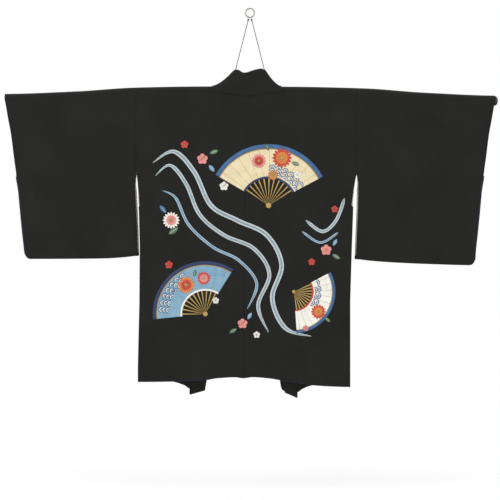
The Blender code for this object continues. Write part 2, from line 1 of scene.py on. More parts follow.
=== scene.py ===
"""Looks of the haori on its hanger rod: black silk crepe, pale lining, a bright motif on the back."""
import math

import bpy
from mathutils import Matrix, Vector


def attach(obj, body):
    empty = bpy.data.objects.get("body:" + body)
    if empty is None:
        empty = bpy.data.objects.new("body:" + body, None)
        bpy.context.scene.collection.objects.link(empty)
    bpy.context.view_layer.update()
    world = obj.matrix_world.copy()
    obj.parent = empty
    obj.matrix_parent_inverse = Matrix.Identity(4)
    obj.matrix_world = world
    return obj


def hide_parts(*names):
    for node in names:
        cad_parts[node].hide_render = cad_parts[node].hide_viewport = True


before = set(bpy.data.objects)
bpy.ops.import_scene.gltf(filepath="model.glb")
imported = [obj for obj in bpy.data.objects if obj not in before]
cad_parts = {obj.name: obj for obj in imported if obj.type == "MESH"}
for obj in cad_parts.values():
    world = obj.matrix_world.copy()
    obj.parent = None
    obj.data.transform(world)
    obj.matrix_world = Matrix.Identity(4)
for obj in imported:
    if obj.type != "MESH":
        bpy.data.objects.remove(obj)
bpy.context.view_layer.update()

# Cloth, as in the part: each shell lies on its solid's form
CLOTH = 0.0015
COLLAR_CLOTH = 0.0030
LINING = 0.0010
GAP = 0.0003
ROD_CLEARANCE = 0.0005
ROD_RADIUS = 0.0125
ROD_HEIGHT = -0.2128
ROD_TILT = 0.0035
ROD_DROOP = (             # from the middle, drop
    (0.00, 0.0000),
    (0.12, 0.0004),
    (0.31, 0.0042),
    (0.47, 0.0150),
    (0.68, 0.0225),
)
FOLD_RADIUS = ROD_RADIUS + ROD_CLEARANCE + CLOTH / 2
COLLAR_FOLD_RADIUS = ROD_RADIUS + ROD_CLEARANCE + COLLAR_CLOTH / 2

CENTRE_LINE = (           # height, x
    (-1.00, -0.0175),
    (-0.21, -0.0090),
    (-0.15, -0.0030),
)
BODY_SIDE = (             # height, left, right, tuck of the back layer's edge
    (-1.010, -0.302, 0.270, 0.0),
    (-0.953, -0.302, 0.270, 0.0),
    (-0.780, -0.298, 0.270, 0.0),
    (-0.629, -0.297, 0.2745, 0.0),
    (-0.535, -0.2995, 0.278, 0.0),
    (-0.524, -0.3005, 0.278, 0.0),
    (-0.523, -0.3005, 0.277, 0.0040),
    (-0.478, -0.3025, 0.281, 0.0025),
    (-0.435, -0.3055, 0.287, 0.0),
    (-0.200, -0.3060, 0.288, 0.0),
)
SLEEVE_END = -0.435
GUSSET_TOP = -0.524
BODY_HALF = 0.2955
NECK_HALF = 0.094
NECK_DROP = 0.0117
FRONT_HALF_HEM = 0.146
HEM_HEIGHT = -0.996
FRONT_END = -1.02         # height down to which the collar's seam is straight
BACK_HEM = (              # from centre 0 to side 1, left height, right height
    (0.00, -0.9850, -0.9850),
    (0.08, -0.9825, -0.9822),
    (0.25, -0.9850, -0.9860),
    (0.38, -0.9910, -0.9925),
    (0.70, -0.9945, -1.0050),
    (1.00, -0.9955, -1.0090),
)
FRONT_HEM = (             # from collar seam 0 to side 1, left height, right height
    (0.00, -1.0150, -1.0250),
    (0.09, -1.0070, -1.0170),
    (0.25, -0.9990, -1.0080),
    (0.42, -0.9945, -1.0040),
    (0.75, -0.9945, -1.0070),
    (1.00, -0.9960, -1.0095),
)
TAB_SEAM = (-1.0314, -1.0405)
TAB_PLACE = 2.95          # the tab's free corner starts to rise here
TAB_FREE_RISE = (0.0108, 0.0135)
TAB_NARROWING = (0.0, 0.008)
HALF_DEPTH = (            # height, at the side edges, at the middle
    (-1.010, 0.0140, 0.0205),
    (-0.524, 0.0105, 0.0200),
    (-0.435, FOLD_RADIUS, 0.0180),
    (-0.300, FOLD_RADIUS, 0.0150),
    (-0.213, FOLD_RADIUS, FOLD_RADIUS),
)
EDGE_SHARE = 0.35
BODY_FOLDS = (            # layer, x, width, depth at the hem, start height
    ("back", -0.215, 0.040, 0.0040, -0.45),
    ("back", -0.120, 0.055, -0.0035, -0.55),
    ("back", 0.075, 0.050, 0.0030, -0.60),
    ("back", 0.190, 0.045, -0.0045, -0.42),
    ("front", -0.240, 0.035, 0.0040, -0.50),
    ("front", -0.185, 0.030, -0.0040, -0.40),
    ("front", 0.165, 0.032, 0.0045, -0.45),
    ("front", 0.225, 0.030, -0.0035, -0.60),
)
COLLAR_TURN = (           # place, inward, outward, up, lean to the right
    (0.00, 0.000, -0.0030, 0.0690, 0.000),
    (0.50, 0.026, -0.0020, 0.0650, 0.006),
    (0.80, 0.044, -0.0010, 0.0620, 0.009),
    (1.00, 0.055, 0.0030, 0.0580, 0.009),
    (1.50, 0.041, 0.0000, 0.0285, 0.005),
    (2.00, 0.043, 0.0150, 0.0270, 0.000),
    (2.06, 0.048, 0.0210, 0.0080, 0.000),
    (2.16, 0.052, 0.0180, 0.0000, 0.000),
    (2.50, 0.053, 0.0110, 0.0000, 0.000),
    (2.90, 0.046, 0.0110, 0.0000, 0.000),
    (3.00, 0.041, 0.0120, 0.0000, 0.000),
)
COLLAR_WIDTH = 0.065      # of the folded band
COLLAR_SEAM = 0.0004      # clearance at the seam
COLLAR_HOLLOW = 0.0050
COLLAR_DIP = 0.0080
COLLAR_DIP_X = -0.0150
COLLAR_DIP_WIDTH = 0.0195
GUSSET_HALF_TOP = 0.0100
GUSSET_HALF_HEM = 0.0320
CUFF = (                  # height, distance of the outer edge from the ring's plane
    (-0.665, 0.6125),
    (-0.586, 0.6190),
    (-0.500, 0.6260),
    (-0.435, 0.6305),
    (-0.392, 0.6360),
    (-0.327, 0.6440),
    (-0.284, 0.6520),
    (-0.251, 0.6575),
    (-0.225, 0.6620),
)
FURI = (                  # height, left, right: the open inner edge below the seam
    (-0.665, -0.3025, 0.2855),
    (-0.586, -0.3045, 0.2890),
    (-0.521, -0.3075, 0.2915),
    (-0.462, -0.3105, 0.2925),
    (-0.436, -0.3070, 0.2890),
    (-0.200, -0.3065, 0.2885),
)
FURI_LIP = 0.0030
SLEEVE_BOTTOM = (         # from inner edge 0 to outer edge 1, left, right
    (0.00, -0.6560, -0.6650),
    (0.12, -0.6595, -0.6690),
    (0.30, -0.6630, -0.6735),
    (0.60, -0.6640, -0.6780),
    (1.00, -0.6645, -0.6815),
)
CORNER_RADIUS = 0.014
SLEEVE_SPAN = 0.305       # width of a sleeve near its bottom
CUFF_END = -0.440
SLEEVE_DEPTH = (          # height, half the depth between the layers
    (-0.690, 0.0050),
    (-0.640, 0.0065),
    (-0.550, 0.0100),
    (-0.435, FOLD_RADIUS),
    (-0.200, FOLD_RADIUS),
)
SEWN_DEPTH = 0.0045
SEAM_BULGE = 0.0025
SEAM_SHARE = 0.47         # of a sleeve's height, at its seam's end
SEAM_ROWS_END = 0.49      # close rows below the seam's end, down to here
SLEEVE_CURL = 0.030
SLEEVE_FOLDS = (          # side, share of the width, width, depth at the bottom
    ("left", 0.28, 0.16, 0.0060),
    ("left", 0.58, 0.14, -0.0070),
    ("right", 0.22, 0.13, -0.0060),
    ("right", 0.52, 0.17, 0.0075),
)
LINING_WIDTH = 0.014
LINING_INSET = 0.0004

# Hanger
ROD_END = 0.645
ROD_LENGTHS = (           # node, start, end, cells
    ("rod_arm_left", -0.645, -0.2203, 54),
    ("hanger_rod", -0.2200, 0.2200, 56),
    ("rod_arm_right", 0.2203, 0.645, 54),
)
CAP_PROFILES = {          # along, radius
    "left": (
        (0.0, 0.0125),
        (0.0090, 0.0125),
        (0.0115, 0.0121),
        (0.0135, 0.0105),
        (0.0146, 0.0080),
        (0.0150, 0.0040),
    ),
    "right": (
        (0.0, 0.0125),
        (0.0150, 0.0125),
        (0.0153, 0.0131),
        (0.0160, 0.0134),
        (0.0173, 0.0130),
        (0.0185, 0.0124),
        (0.0198, 0.0115),
        (0.0210, 0.0103),
        (0.0220, 0.0088),
        (0.0229, 0.0071),
        (0.0235, 0.0052),
        (0.0238, 0.0034),
    ),
}
CORD_SPREAD = 0.0507
STRAND_RADIUS = 0.00066
TWIST_RADIUS = 0.00054
TWIST_PITCH = 0.0055
RING_RADIUS = 0.012
RING_WIRE = 0.002

# Motif on the back: fans on flowing water, with flowers and leaves. Lengths in metres, turns in degrees
LIFT = 0.00016            # each coat of dye lies this much above the one below
DYE = 0.00012             # thickness of a coat
DYES = {                  # name: colour, worn colour
    "white": ((238, 236, 226), (214, 212, 204)),
    "cream": ((228, 214, 178), (206, 190, 152)),
    "mist": ((176, 192, 194), (142, 160, 166)),
    "sky": ((132, 172, 194), (98, 140, 168)),
    "blue": ((58, 104, 150), (42, 82, 124)),
    "navy": ((34, 54, 96), (24, 40, 74)),
    "coral": ((206, 72, 58), (172, 52, 44)),
    "pink": ((226, 148, 142), (200, 118, 116)),
    "orange": ((224, 138, 62), (194, 110, 46)),
    "gold": ((190, 158, 88), (156, 126, 64)),
    "green": ((96, 122, 84), (70, 94, 64)),
}
FANS = (                  # pivot x, pivot z, radius, start, end, ground, border, inner border
    (0.050, -0.520, 0.165, 28, 150, "cream", "blue", "navy"),
    (-0.120, -0.812, 0.142, 58, 186, "sky", "navy", "white"),
    (0.118, -0.752, 0.112, -86, 28, "white", "blue", "coral"),
)
WAVES = (                 # fan, from share, to share of its radius, from share, to share of its spread
    (0, 0.50, 0.72, 0.00, 0.52),
    (1, 0.70, 0.92, 0.46, 1.00),
    (2, 0.50, 0.70, 0.40, 1.00),
)
WAVE_RINGS = (            # share of the wave's radius, colour, coat
    (0.96, "blue", 4),
    (0.70, "white", 5),
    (0.46, "blue", 6),
    (0.22, "white", 7),
)
STREAMS = (               # half width, colour, points (x, z)
    (0.0062, "mist", ((-0.262, -0.405), (-0.205, -0.375), (-0.150, -0.430), (-0.105, -0.520),
                      (-0.035, -0.560), (0.045, -0.600), (0.085, -0.680), (0.060, -0.770),
                      (0.095, -0.850), (0.165, -0.872))),
    (0.0052, "mist", ((-0.255, -0.440), (-0.215, -0.412), (-0.172, -0.462), (-0.135, -0.545),
                      (-0.070, -0.600), (0.010, -0.636), (0.052, -0.705), (0.022, -0.790), (0.050, -0.862))),
    (0.0038, "sky", ((-0.236, -0.480), (-0.200, -0.500), (-0.165, -0.572), (-0.100, -0.632), (-0.030, -0.668),
                     (0.018, -0.730), (-0.008, -0.800))),
    (0.0045, "mist", ((0.150, -0.560), (0.195, -0.590), (0.232, -0.560), (0.255, -0.500))),
    (0.0030, "sky", ((0.140, -0.590), (0.190, -0.620), (0.238, -0.592))),
)
MUMS = (                  # x, z, radius, petals, outer, inner
    (0.086, -0.392, 0.0270, 16, "coral", "orange"),
    (0.024, -0.400, 0.0200, 14, "pink", "coral"),
    (0.062, -0.438, 0.0140, 12, "orange", "gold"),
    (-0.172, -0.734, 0.0240, 16, "orange", "coral"),
    (-0.124, -0.716, 0.0185, 14, "coral", "pink"),
    (0.184, -0.806, 0.0200, 14, "coral", "orange"),
    (-0.212, -0.560, 0.0230, 16, "white", "pink"),
)
PLUMS = (                 # x, z, radius, colour
    (-0.128, -0.395, 0.0150, "pink"),
    (-0.176, -0.356, 0.0110, "coral"),
    (-0.070, -0.468, 0.0125, "white"),
    (0.128, -0.438, 0.0110, "white"),
    (0.205, -0.640, 0.0150, "pink"),
    (0.166, -0.672, 0.0100, "coral"),
    (-0.020, -0.838, 0.0140, "pink"),
    (0.018, -0.868, 0.0095, "white"),
    (-0.218, -0.680, 0.0110, "coral"),
    (-0.092, -0.776, 0.0095, "white"),
    (0.150, -0.850, 0.0085, "pink"),
    (0.228, -0.530, 0.0100, "coral"),
)
LEAVES = (                # x, z, turn, length, colour
    (-0.194, -0.580, 215, 0.030, "green"),
    (-0.226, -0.540, 130, 0.026, "blue"),
    (-0.108, -0.380, 20, 0.024, "green"),
    (-0.110, -0.412, -50, 0.022, "sky"),
    (0.112, -0.404, -20, 0.022, "green"),
    (0.050, -0.372, 110, 0.018, "green"),
    (-0.150, -0.712, 80, 0.020, "green"),
    (-0.196, -0.748, 190, 0.018, "blue"),
    (0.222, -0.652, -30, 0.024, "green"),
    (0.224, -0.628, 60, 0.020, "sky"),
    (0.202, -0.822, -40, 0.018, "green"),
    (-0.036, -0.852, 210, 0.022, "green"),
    (-0.006, -0.826, 60, 0.020, "sky"),
)

# Floor and light
FLOOR_HEIGHT = -1.30
WORLD_STRENGTH = 1.0
LAMPS = (                 # name, place, size, watts
    ("soft_left", (-2.4, -1.9, 1.0), (1.8, 1.8), 28.0),
    ("soft_right", (2.6, -2.2, 0.4), (2.0, 2.0), 14.0),
    ("soft_front", (1.6, 2.8, 0.8), (2.4, 2.4), 28.0),
)

FURI_LEVELS = (0.478, 0.985)  # shares of the way down, between which the sleeve's lining shows

# Fineness of the shells
ARC_STEPS = 24
NECK_CELLS = 20
SHOULDER_CELLS = 44
LEVEL_CELLS = 110
SLEEVE_CELLS = 60
COLLAR_CELLS = 14
GUSSET_CELLS = 16
EDGE_BAND = 0.0018        # the darkest violet edge along cuffs and hems
TURNED_EDGE = 0.012       # the black silk is turned in this far at hems
FRONT_FACING = -0.930     # below this height the fronts are black inside too
ROLL = 0.0002             # how far a rim rounds out past its edge

SIDES = {"left": -1.0, "right": 1.0}


def interpolate(rows, key, column):
    """Read a table between its rows, on a straight line."""
    if (key - rows[0][0]) * (key - rows[-1][0]) >= 0:
        ends = sorted((rows[0], rows[-1]), key=lambda row: abs(row[0] - key))
        return ends[0][column]
    for low, high in zip(rows, rows[1:]):
        if low[0] <= key <= high[0]:
            share = (key - low[0]) / (high[0] - low[0])
            return low[column] + (high[column] - low[column]) * share
    return rows[-1][column]


def smooth(rows, key, column):
    """Read a table between its rows, with an even slope through each row."""
    keys = [row[0] for row in rows]
    if key <= keys[0]:
        return rows[0][column]
    if key >= keys[-1]:
        return rows[-1][column]
    index = max(i for i, value in enumerate(keys[:-1]) if value <= key)

    def slope(i):
        if i == 0 or i == len(rows) - 1:
            return 0.0
        before = (rows[i][column] - rows[i - 1][column]) / (keys[i] - keys[i - 1])
        after = (rows[i + 1][column] - rows[i][column]) / (keys[i + 1] - keys[i])
        if before * after <= 0:
            return 0.0
        return 2 * before * after / (before + after)

    span = keys[index + 1] - keys[index]
    t = (key - keys[index]) / span
    start = rows[index][column]
    end = rows[index + 1][column]
    return ((2 * t ** 3 - 3 * t ** 2 + 1) * start + (t ** 3 - 2 * t ** 2 + t) * span * slope(index)
            + (3 * t ** 2 - 2 * t ** 3) * end + (t ** 3 - t ** 2) * span * slope(index + 1))


def ramp(value):
    """Rise softly from 0 to 1."""
    value = min(1.0, max(0.0, value))
    return value * value * (3 - 2 * value)


def side_column(side):
    """Column of a table that has one for each side."""
    return 1 if side == "left" else 2


def rod_height(x):
    """Height of the rod's middle line, which tilts and droops."""
    return ROD_HEIGHT - smooth(ROD_DROOP, abs(x), 1) - ROD_TILT * x


def centre_x(z):
    """Place of the centre back seam at a height."""
    return interpolate(CENTRE_LINE, z, 1)


def body_side_x(side, layer, z):
    """Place of the body's outer edge at a height."""
    x = interpolate(BODY_SIDE, z, side_column(side))
    if layer == "back":
        x -= SIDES[side] * interpolate(BODY_SIDE, z, 3)
    return x


def seam_x(side):
    """Place of the seam between body and sleeve."""
    return interpolate(BODY_SIDE, ROD_HEIGHT, side_column(side))


# Creases, listed one by one: soft troughs and ridges finer than the solids' folds
BODY_CREASES = (          # layer, x at its top, x at its foot, top, foot, width, depth
    ("back", -0.262, -0.250, -0.300, -0.560, 0.014, 0.0010),
    ("back", -0.205, -0.176, -0.235, -0.420, 0.012, -0.0008),
    ("back", -0.060, -0.072, -0.560, -0.900, 0.016, 0.0009),
    ("back", 0.030, 0.042, -0.640, -0.960, 0.013, -0.0008),
    ("back", 0.142, 0.118, -0.240, -0.460, 0.013, 0.0009),
    ("back", 0.236, 0.226, -0.330, -0.640, 0.015, -0.0011),
    ("back", 0.252, 0.236, -0.700, -0.960, 0.012, 0.0010),
    ("back", -0.276, -0.262, -0.620, -0.960, 0.012, -0.0009),
    ("front", -0.262, -0.238, -0.290, -0.520, 0.014, -0.0011),
    ("front", -0.196, -0.214, -0.420, -0.760, 0.013, 0.0010),
    ("front", 0.128, 0.158, -0.260, -0.540, 0.015, 0.0011),
    ("front", 0.232, 0.214, -0.560, -0.930, 0.013, -0.0010),
)
SLEEVE_CREASES = (        # side, share at its top, share at its foot, top, foot, width, depth
    ("left", 0.10, 0.16, -0.250, -0.520, 0.030, 0.0011),
    ("left", 0.36, 0.42, -0.300, -0.600, 0.036, -0.0010),
    ("left", 0.80, 0.72, -0.260, -0.620, 0.034, 0.0013),
    ("right", 0.14, 0.08, -0.270, -0.560, 0.032, -0.0010),
    ("right", 0.40, 0.34, -0.320, -0.640, 0.036, 0.0011),
    ("right", 0.70, 0.78, -0.260, -0.600, 0.034, -0.0013),
)


def crease(value, height, start, end, top, foot, width, depth):
    """Depth of one crease at a place across and a height."""
    way = (top - height) / (top - foot)
    if way <= 0 or way >= 1:
        return 0.0
    middle = start + (end - start) * way
    strength = math.sin(math.pi * way) ** 0.7
    return depth * strength * math.exp(-((value - middle) / width) ** 2)


def body_depth(layer, x, z):
    """The y of a body layer's middle surface, with its folds and creases."""
    side = "left" if x < centre_x(z) else "right"
    edge = interpolate(BODY_SIDE, z, side_column(side))
    inset = abs(edge - x) / (BODY_HALF * EDGE_SHARE)
    at_side = interpolate(HALF_DEPTH, z, 1)
    at_middle = smooth(HALF_DEPTH, z, 2)
    depth = at_side + (at_middle - at_side) * ramp(inset)
    y = -depth if layer == "back" else depth
    for fold_layer, fold_x, width, height, start in BODY_FOLDS:
        if fold_layer == layer:
            reach = ramp((start - z) / (start + 1.0))
            y += height * reach * ramp(inset) * math.exp(-((x - fold_x) / width) ** 2)
    for crease_layer, start, end, top, foot, width, height in BODY_CREASES:
        if crease_layer == layer:
            y += crease(x, z, start, end, top, foot, width, height) * ramp(inset * 4)
    return y


def sleeve_point(side, layer, share, level):
    """A point of a sleeve's middle surface, share across and level down."""
    sign = SIDES[side]
    column = side_column(side)
    top_x = seam_x(side) + sign * (GAP + 0.0001)
    top_x += (sign * CUFF[-1][1] - top_x) * share
    top = rod_height(top_x)
    bottom = smooth(SLEEVE_BOTTOM, share, column) + SEAM_BULGE + CLOTH / 2
    corner = max(0.0, share - (1 - CORNER_RADIUS / SLEEVE_SPAN)) * SLEEVE_SPAN
    bottom += CORNER_RADIUS - math.sqrt(max(CORNER_RADIUS ** 2 - corner ** 2, 0.0))
    z = top + (bottom - top) * level
    inner = interpolate(FURI, z, column)
    if z >= SLEEVE_END - 0.0005:
        inner = seam_x(side) + sign * (GAP + 0.0001)
    elif layer == "front":
        inner -= sign * FURI_LIP * ramp((SLEEVE_END - z) / 0.05)
    sewn = ramp((CUFF_END - z) / 0.05)
    outer = sign * (smooth(CUFF, z, 1) - (SEAM_BULGE + CLOTH / 2) * sewn)
    x = inner + (outer - inner) * share
    depth = interpolate(SLEEVE_DEPTH, z, 1)
    if z < SLEEVE_END:
        depth += (SEWN_DEPTH - depth) * ramp((share - 0.85) / 0.15) * ramp((SLEEVE_END - z) / 0.04)
    y = -depth if layer == "back" else depth
    down = ramp((top - z) / (top + 0.67))
    y += SLEEVE_CURL * down * down * ramp((share - 0.55) / 0.45)
    for fold_side, place, width, height in SLEEVE_FOLDS:
        if fold_side == side:
            y += height * down * math.exp(-((share - place) / width) ** 2) * ramp(share / 0.15)
    for crease_side, start, end, top_z, foot, width, height in SLEEVE_CREASES:
        if crease_side == side:
            y += crease(share, z, start, end, top_z, foot, width, height) * ramp(share / 0.1)
    return Vector((x, y, z))


class Sheet:
    """A middle surface of shared points, cells between them and flat cloth coordinates."""

    def __init__(self):
        self.points = []
        self.flat = []
        self.index = {}
        self.faces = []
        self.outer_slots = []
        self.inner_slots = []

    def put(self, key, point, flat):
        self.index[key] = len(self.points)
        self.points.append(Vector(point))
        self.flat.append(flat)

    def cell(self, keys, outer=0, inner=1):
        if all(key in self.index for key in keys):
            self.faces.append([self.index[key] for key in keys])
            self.outer_slots.append(outer)
            self.inner_slots.append(inner)

    def normals(self):
        found = [Vector() for _ in self.points]
        for face in self.faces:
            corners = [self.points[i] for i in face]
            normal = (corners[2] - corners[0]).cross(corners[3] - corners[1])
            for i in face:
                found[i] += normal
        return [normal.normalized() for normal in found]

    def shell(self, name, thickness, materials, roll=ROLL, rim_slot=0):
        """Close the surface into a thin shell with a rounded rim."""
        normals = self.normals()
        count = len(self.points)
        points = [p + n * thickness / 2 for p, n in zip(self.points, normals)]
        points += [p - n * thickness / 2 for p, n in zip(self.points, normals)]
        flat = self.flat + self.flat
        faces = [list(face) for face in self.faces]
        slots = list(self.outer_slots)
        for face, slot in zip(self.faces, self.inner_slots):
            faces.append([i + count for i in reversed(face)])
            slots.append(slot)
        edges = {}
        for number, face in enumerate(self.faces):
            for a, b in zip(face, face[1:] + face[:1]):
                edges[a, b] = number
        rim_middle = {}
        outward = {}
        border = [(a, b) for a, b in edges if (b, a) not in edges]
        for a, b in border:
            way = (self.points[b] - self.points[a]).cross(normals[a] + normals[b])
            for i in (a, b):
                outward[i] = outward.get(i, Vector()) + way.normalized()
        for i, way in outward.items():
            rim_middle[i] = len(points)
            points.append(self.points[i] + way.normalized() * roll)
            flat.append(self.flat[i])
        for a, b in border:
            faces.append([b, a, rim_middle[a], rim_middle[b]])
            faces.append([rim_middle[b], rim_middle[a], a + count, b + count])
            slot = self.outer_slots[edges[a, b]] if rim_slot is None else rim_slot
            slots += [slot, slot]
        return make_mesh(name, points, faces, slots, flat, materials)


def make_mesh(name, points, faces, slots, flat, materials):
    mesh = bpy.data.meshes.new(name)
    mesh.from_pydata([tuple(point) for point in points], [], faces)
    for material in materials:
        mesh.materials.append(material)
    mesh.polygons.foreach_set("material_index", slots)
    if flat:
        layer = mesh.uv_layers.new(name="cloth")
        for loop in mesh.loops:
            layer.data[loop.index].uv = flat[loop.vertex_index]
    mesh.update()
    mesh.shade_smooth()
    item = bpy.data.objects.new(name, mesh)
    bpy.context.collection.objects.link(item)
    return item


def hand_over(item, slot, *nodes):
    """Let a finished piece ride on the body and stand for its solids."""
    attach(item, "root")
    if nodes:
        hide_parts(*nodes)


class Nodes:
    """Short calls for building one material."""

    def __init__(self, name):
        self.material = bpy.data.materials.new(name)
        self.material.use_nodes = True
        self.tree = self.material.node_tree
        self.shader = self.tree.nodes["Principled BSDF"]

    def add(self, kind, inputs=None, **settings):
        node = self.tree.nodes.new(kind)
        for key, value in settings.items():
            setattr(node, key, value)
        for key, value in (inputs or {}).items():
            if isinstance(value, bpy.types.NodeSocket):
                self.tree.links.new(value, node.inputs[key])
            else:
                node.inputs[key].default_value = value
        return node

    def link(self, socket, name):
        self.tree.links.new(socket, self.shader.inputs[name])

    def set(self, **values):
        for key, value in values.items():
            self.shader.inputs[key.replace("_", " ")].default_value = value


def colour(red, green, blue):
    """A colour as it shows on a screen, 0 to 255, turned into light values."""
    values = [part / 255 for part in (red, green, blue)]
    return tuple(v / 12.92 if v <= 0.04045 else ((v + 0.055) / 1.055) ** 2.4 for v in values) + (1.0,)


def crepe(name, base, deep, roughness=0.82, sheen=0.05, grain=0.00012):
    """Silk crepe: an uneven pebbled grain from twisted weft, slight shading from place to place."""
    nodes = Nodes(name)
    place = nodes.add("ShaderNodeUVMap", uv_map="cloth").outputs["UV"]
    along = nodes.add("ShaderNodeMapping", {"Vector": place, "Scale": (1.0, 2.3, 1.0)}).outputs["Vector"]
    pebbles = nodes.add("ShaderNodeTexNoise", {"Vector": along, "Scale": 1150.0, "Detail": 2.0,
                                               "Distortion": 0.35}).outputs["Fac"]
    threads = nodes.add("ShaderNodeTexWave", {"Vector": place, "Scale": 420.0, "Distortion": 2.2,
                                              "Detail": 1.0, "Detail Scale": 3.0},
                        bands_direction="Y").outputs["Fac"]
    height = nodes.add("ShaderNodeMath", {0: pebbles, 1: threads}, operation="ADD").outputs[0]
    bump = nodes.add("ShaderNodeBump", {"Height": height, "Strength": 0.55, "Distance": grain})
    nodes.link(bump.outputs["Normal"], "Normal")
    cloudy = nodes.add("ShaderNodeTexNoise", {"Vector": place, "Scale": 9.0, "Detail": 3.0}).outputs["Fac"]
    shade = nodes.add("ShaderNodeMath", {0: cloudy, 1: pebbles}, operation="ADD").outputs[0]
    limits = {"Value": shade, "From Min": 0.7, "From Max": 1.35}
    spread = nodes.add("ShaderNodeMapRange", limits).outputs["Result"]
    mixed = nodes.add("ShaderNodeMix", {"Factor": spread}, data_type="RGBA")
    set_mix_colours(mixed, deep, base)
    nodes.link(mixed.outputs[2], "Base Color")
    nodes.set(Roughness=roughness, Sheen_Weight=sheen, Sheen_Roughness=0.5)
    nodes.shader.inputs["Specular IOR Level"].default_value = 0.18
    return nodes.material


def set_mix_colours(node, first, second):
    colours = [socket for socket in node.inputs if socket.type == "RGBA"]
    colours[0].default_value = first
    colours[1].default_value = second


def silk(name, base, deep, roughness=0.42, sheen=0.25):
    """Plain smooth lining silk: a fine even weave with a soft gloss."""
    nodes = Nodes(name)
    place = nodes.add("ShaderNodeUVMap", uv_map="cloth").outputs["UV"]
    warp = nodes.add("ShaderNodeTexWave", {"Vector": place, "Scale": 520.0, "Distortion": 0.6},
                     bands_direction="X").outputs["Fac"]
    weft = nodes.add("ShaderNodeTexWave", {"Vector": place, "Scale": 480.0, "Distortion": 0.9},
                     bands_direction="Y").outputs["Fac"]
    height = nodes.add("ShaderNodeMath", {0: warp, 1: weft}, operation="MULTIPLY").outputs[0]
    bump = nodes.add("ShaderNodeBump", {"Height": height, "Strength": 0.3, "Distance": 0.00006})
    nodes.link(bump.outputs["Normal"], "Normal")
    cloudy = nodes.add("ShaderNodeTexNoise", {"Vector": place, "Scale": 7.0, "Detail": 3.0}).outputs["Fac"]
    mixed = nodes.add("ShaderNodeMix", {"Factor": cloudy}, data_type="RGBA")
    set_mix_colours(mixed, deep, base)
    nodes.link(mixed.outputs[2], "Base Color")
    nodes.set(Roughness=roughness, Sheen_Weight=sheen, Sheen_Roughness=0.4)
    return nodes.material


def dye(name, tint, worn, roughness=0.7):
    """Painted dye on the crepe: a slightly uneven colour over the same grain."""
    nodes = Nodes(name)
    place = nodes.add("ShaderNodeTexCoord").outputs["Object"]
    fine = nodes.add("ShaderNodeTexNoise", {"Vector": place, "Scale": 900.0, "Detail": 2.0}).outputs["Fac"]
    wash = nodes.add("ShaderNodeTexNoise", {"Vector": place, "Scale": 45.0, "Detail": 4.0}).outputs["Fac"]
    bump = nodes.add("ShaderNodeBump", {"Height": fine, "Strength": 0.5, "Distance": 0.0001})
    nodes.link(bump.outputs["Normal"], "Normal")
    both = nodes.add("ShaderNodeMath", {0: fine, 1: wash}, operation="ADD").outputs[0]
    limits = {"Value": both, "From Min": 0.65, "From Max": 1.3}
    spread = nodes.add("ShaderNodeMapRange", limits).outputs["Result"]
    mixed = nodes.add("ShaderNodeMix", {"Factor": spread}, data_type="RGBA")
    set_mix_colours(mixed, worn, tint)
    nodes.link(mixed.outputs[2], "Base Color")
    nodes.set(Roughness=roughness, Sheen_Weight=0.05)
    return nodes.material


def hard(name, base, deep, roughness, metallic=0.0, scale=60.0, depth=0.00005):
    """Moulded or drawn stuff with faint wear."""
    nodes = Nodes(name)
    place = nodes.add("ShaderNodeTexCoord").outputs["Object"]
    wear = nodes.add("ShaderNodeTexNoise", {"Vector": place, "Scale": scale, "Detail": 4.0}).outputs["Fac"]
    mixed = nodes.add("ShaderNodeMix", {"Factor": wear}, data_type="RGBA")
    set_mix_colours(mixed, deep, base)
    nodes.link(mixed.outputs[2], "Base Color")
    limits = {"Value": wear, "To Min": roughness - 0.08, "To Max": roughness + 0.12}
    rough = nodes.add("ShaderNodeMapRange", limits)
    nodes.link(rough.outputs["Result"], "Roughness")
    bump = nodes.add("ShaderNodeBump", {"Height": wear, "Strength": 0.3, "Distance": depth})
    nodes.link(bump.outputs["Normal"], "Normal")
    nodes.set(Metallic=metallic)
    return nodes.material


def cloth_materials():
    """Outside, inside and edge, in the order of BLACK, IVORY, EDGE."""
    black = crepe("black_crepe", colour(29, 29, 27), colour(20, 20, 19))
    ivory = silk("ivory_lining", colour(240, 235, 220), colour(226, 219, 202))
    edge = crepe("edge_violet", colour(30, 25, 52), colour(23, 20, 40), roughness=0.7)
    return [black, ivory, edge]


BLACK, IVORY, EDGE = range(3)


def split(start, end, count):
    """Even steps from start up to but without end."""
    return [start + (end - start) * i / count for i in range(count)]


def body_levels():
    """Shares of the way from the rod to the hem; rows are close at the slit and at the hem."""
    way = ROD_HEIGHT - HEM_HEIGHT
    seam = (ROD_HEIGHT - SLEEVE_END) / way
    slit = (ROD_HEIGHT - GUSSET_TOP) / way
    hem = 1 - EDGE_BAND / way
    facing = 1 - TURNED_EDGE / way
    levels = split(0.0, seam, 28) + split(seam, slit - 0.001, 14) + split(slit - 0.001, slit + 0.002, 2)
    return levels + split(slit + 0.002, facing, 56) + split(facing, hem, 2) + [hem, 1.0]


def front_seam_x(side, share):
    """Place of the seam between a front and the collar."""
    across = NECK_HALF + (FRONT_HALF_HEM - NECK_HALF) * share
    z = ROD_HEIGHT + share * (FRONT_END - ROD_HEIGHT)
    return centre_x(z) + SIDES[side] * across


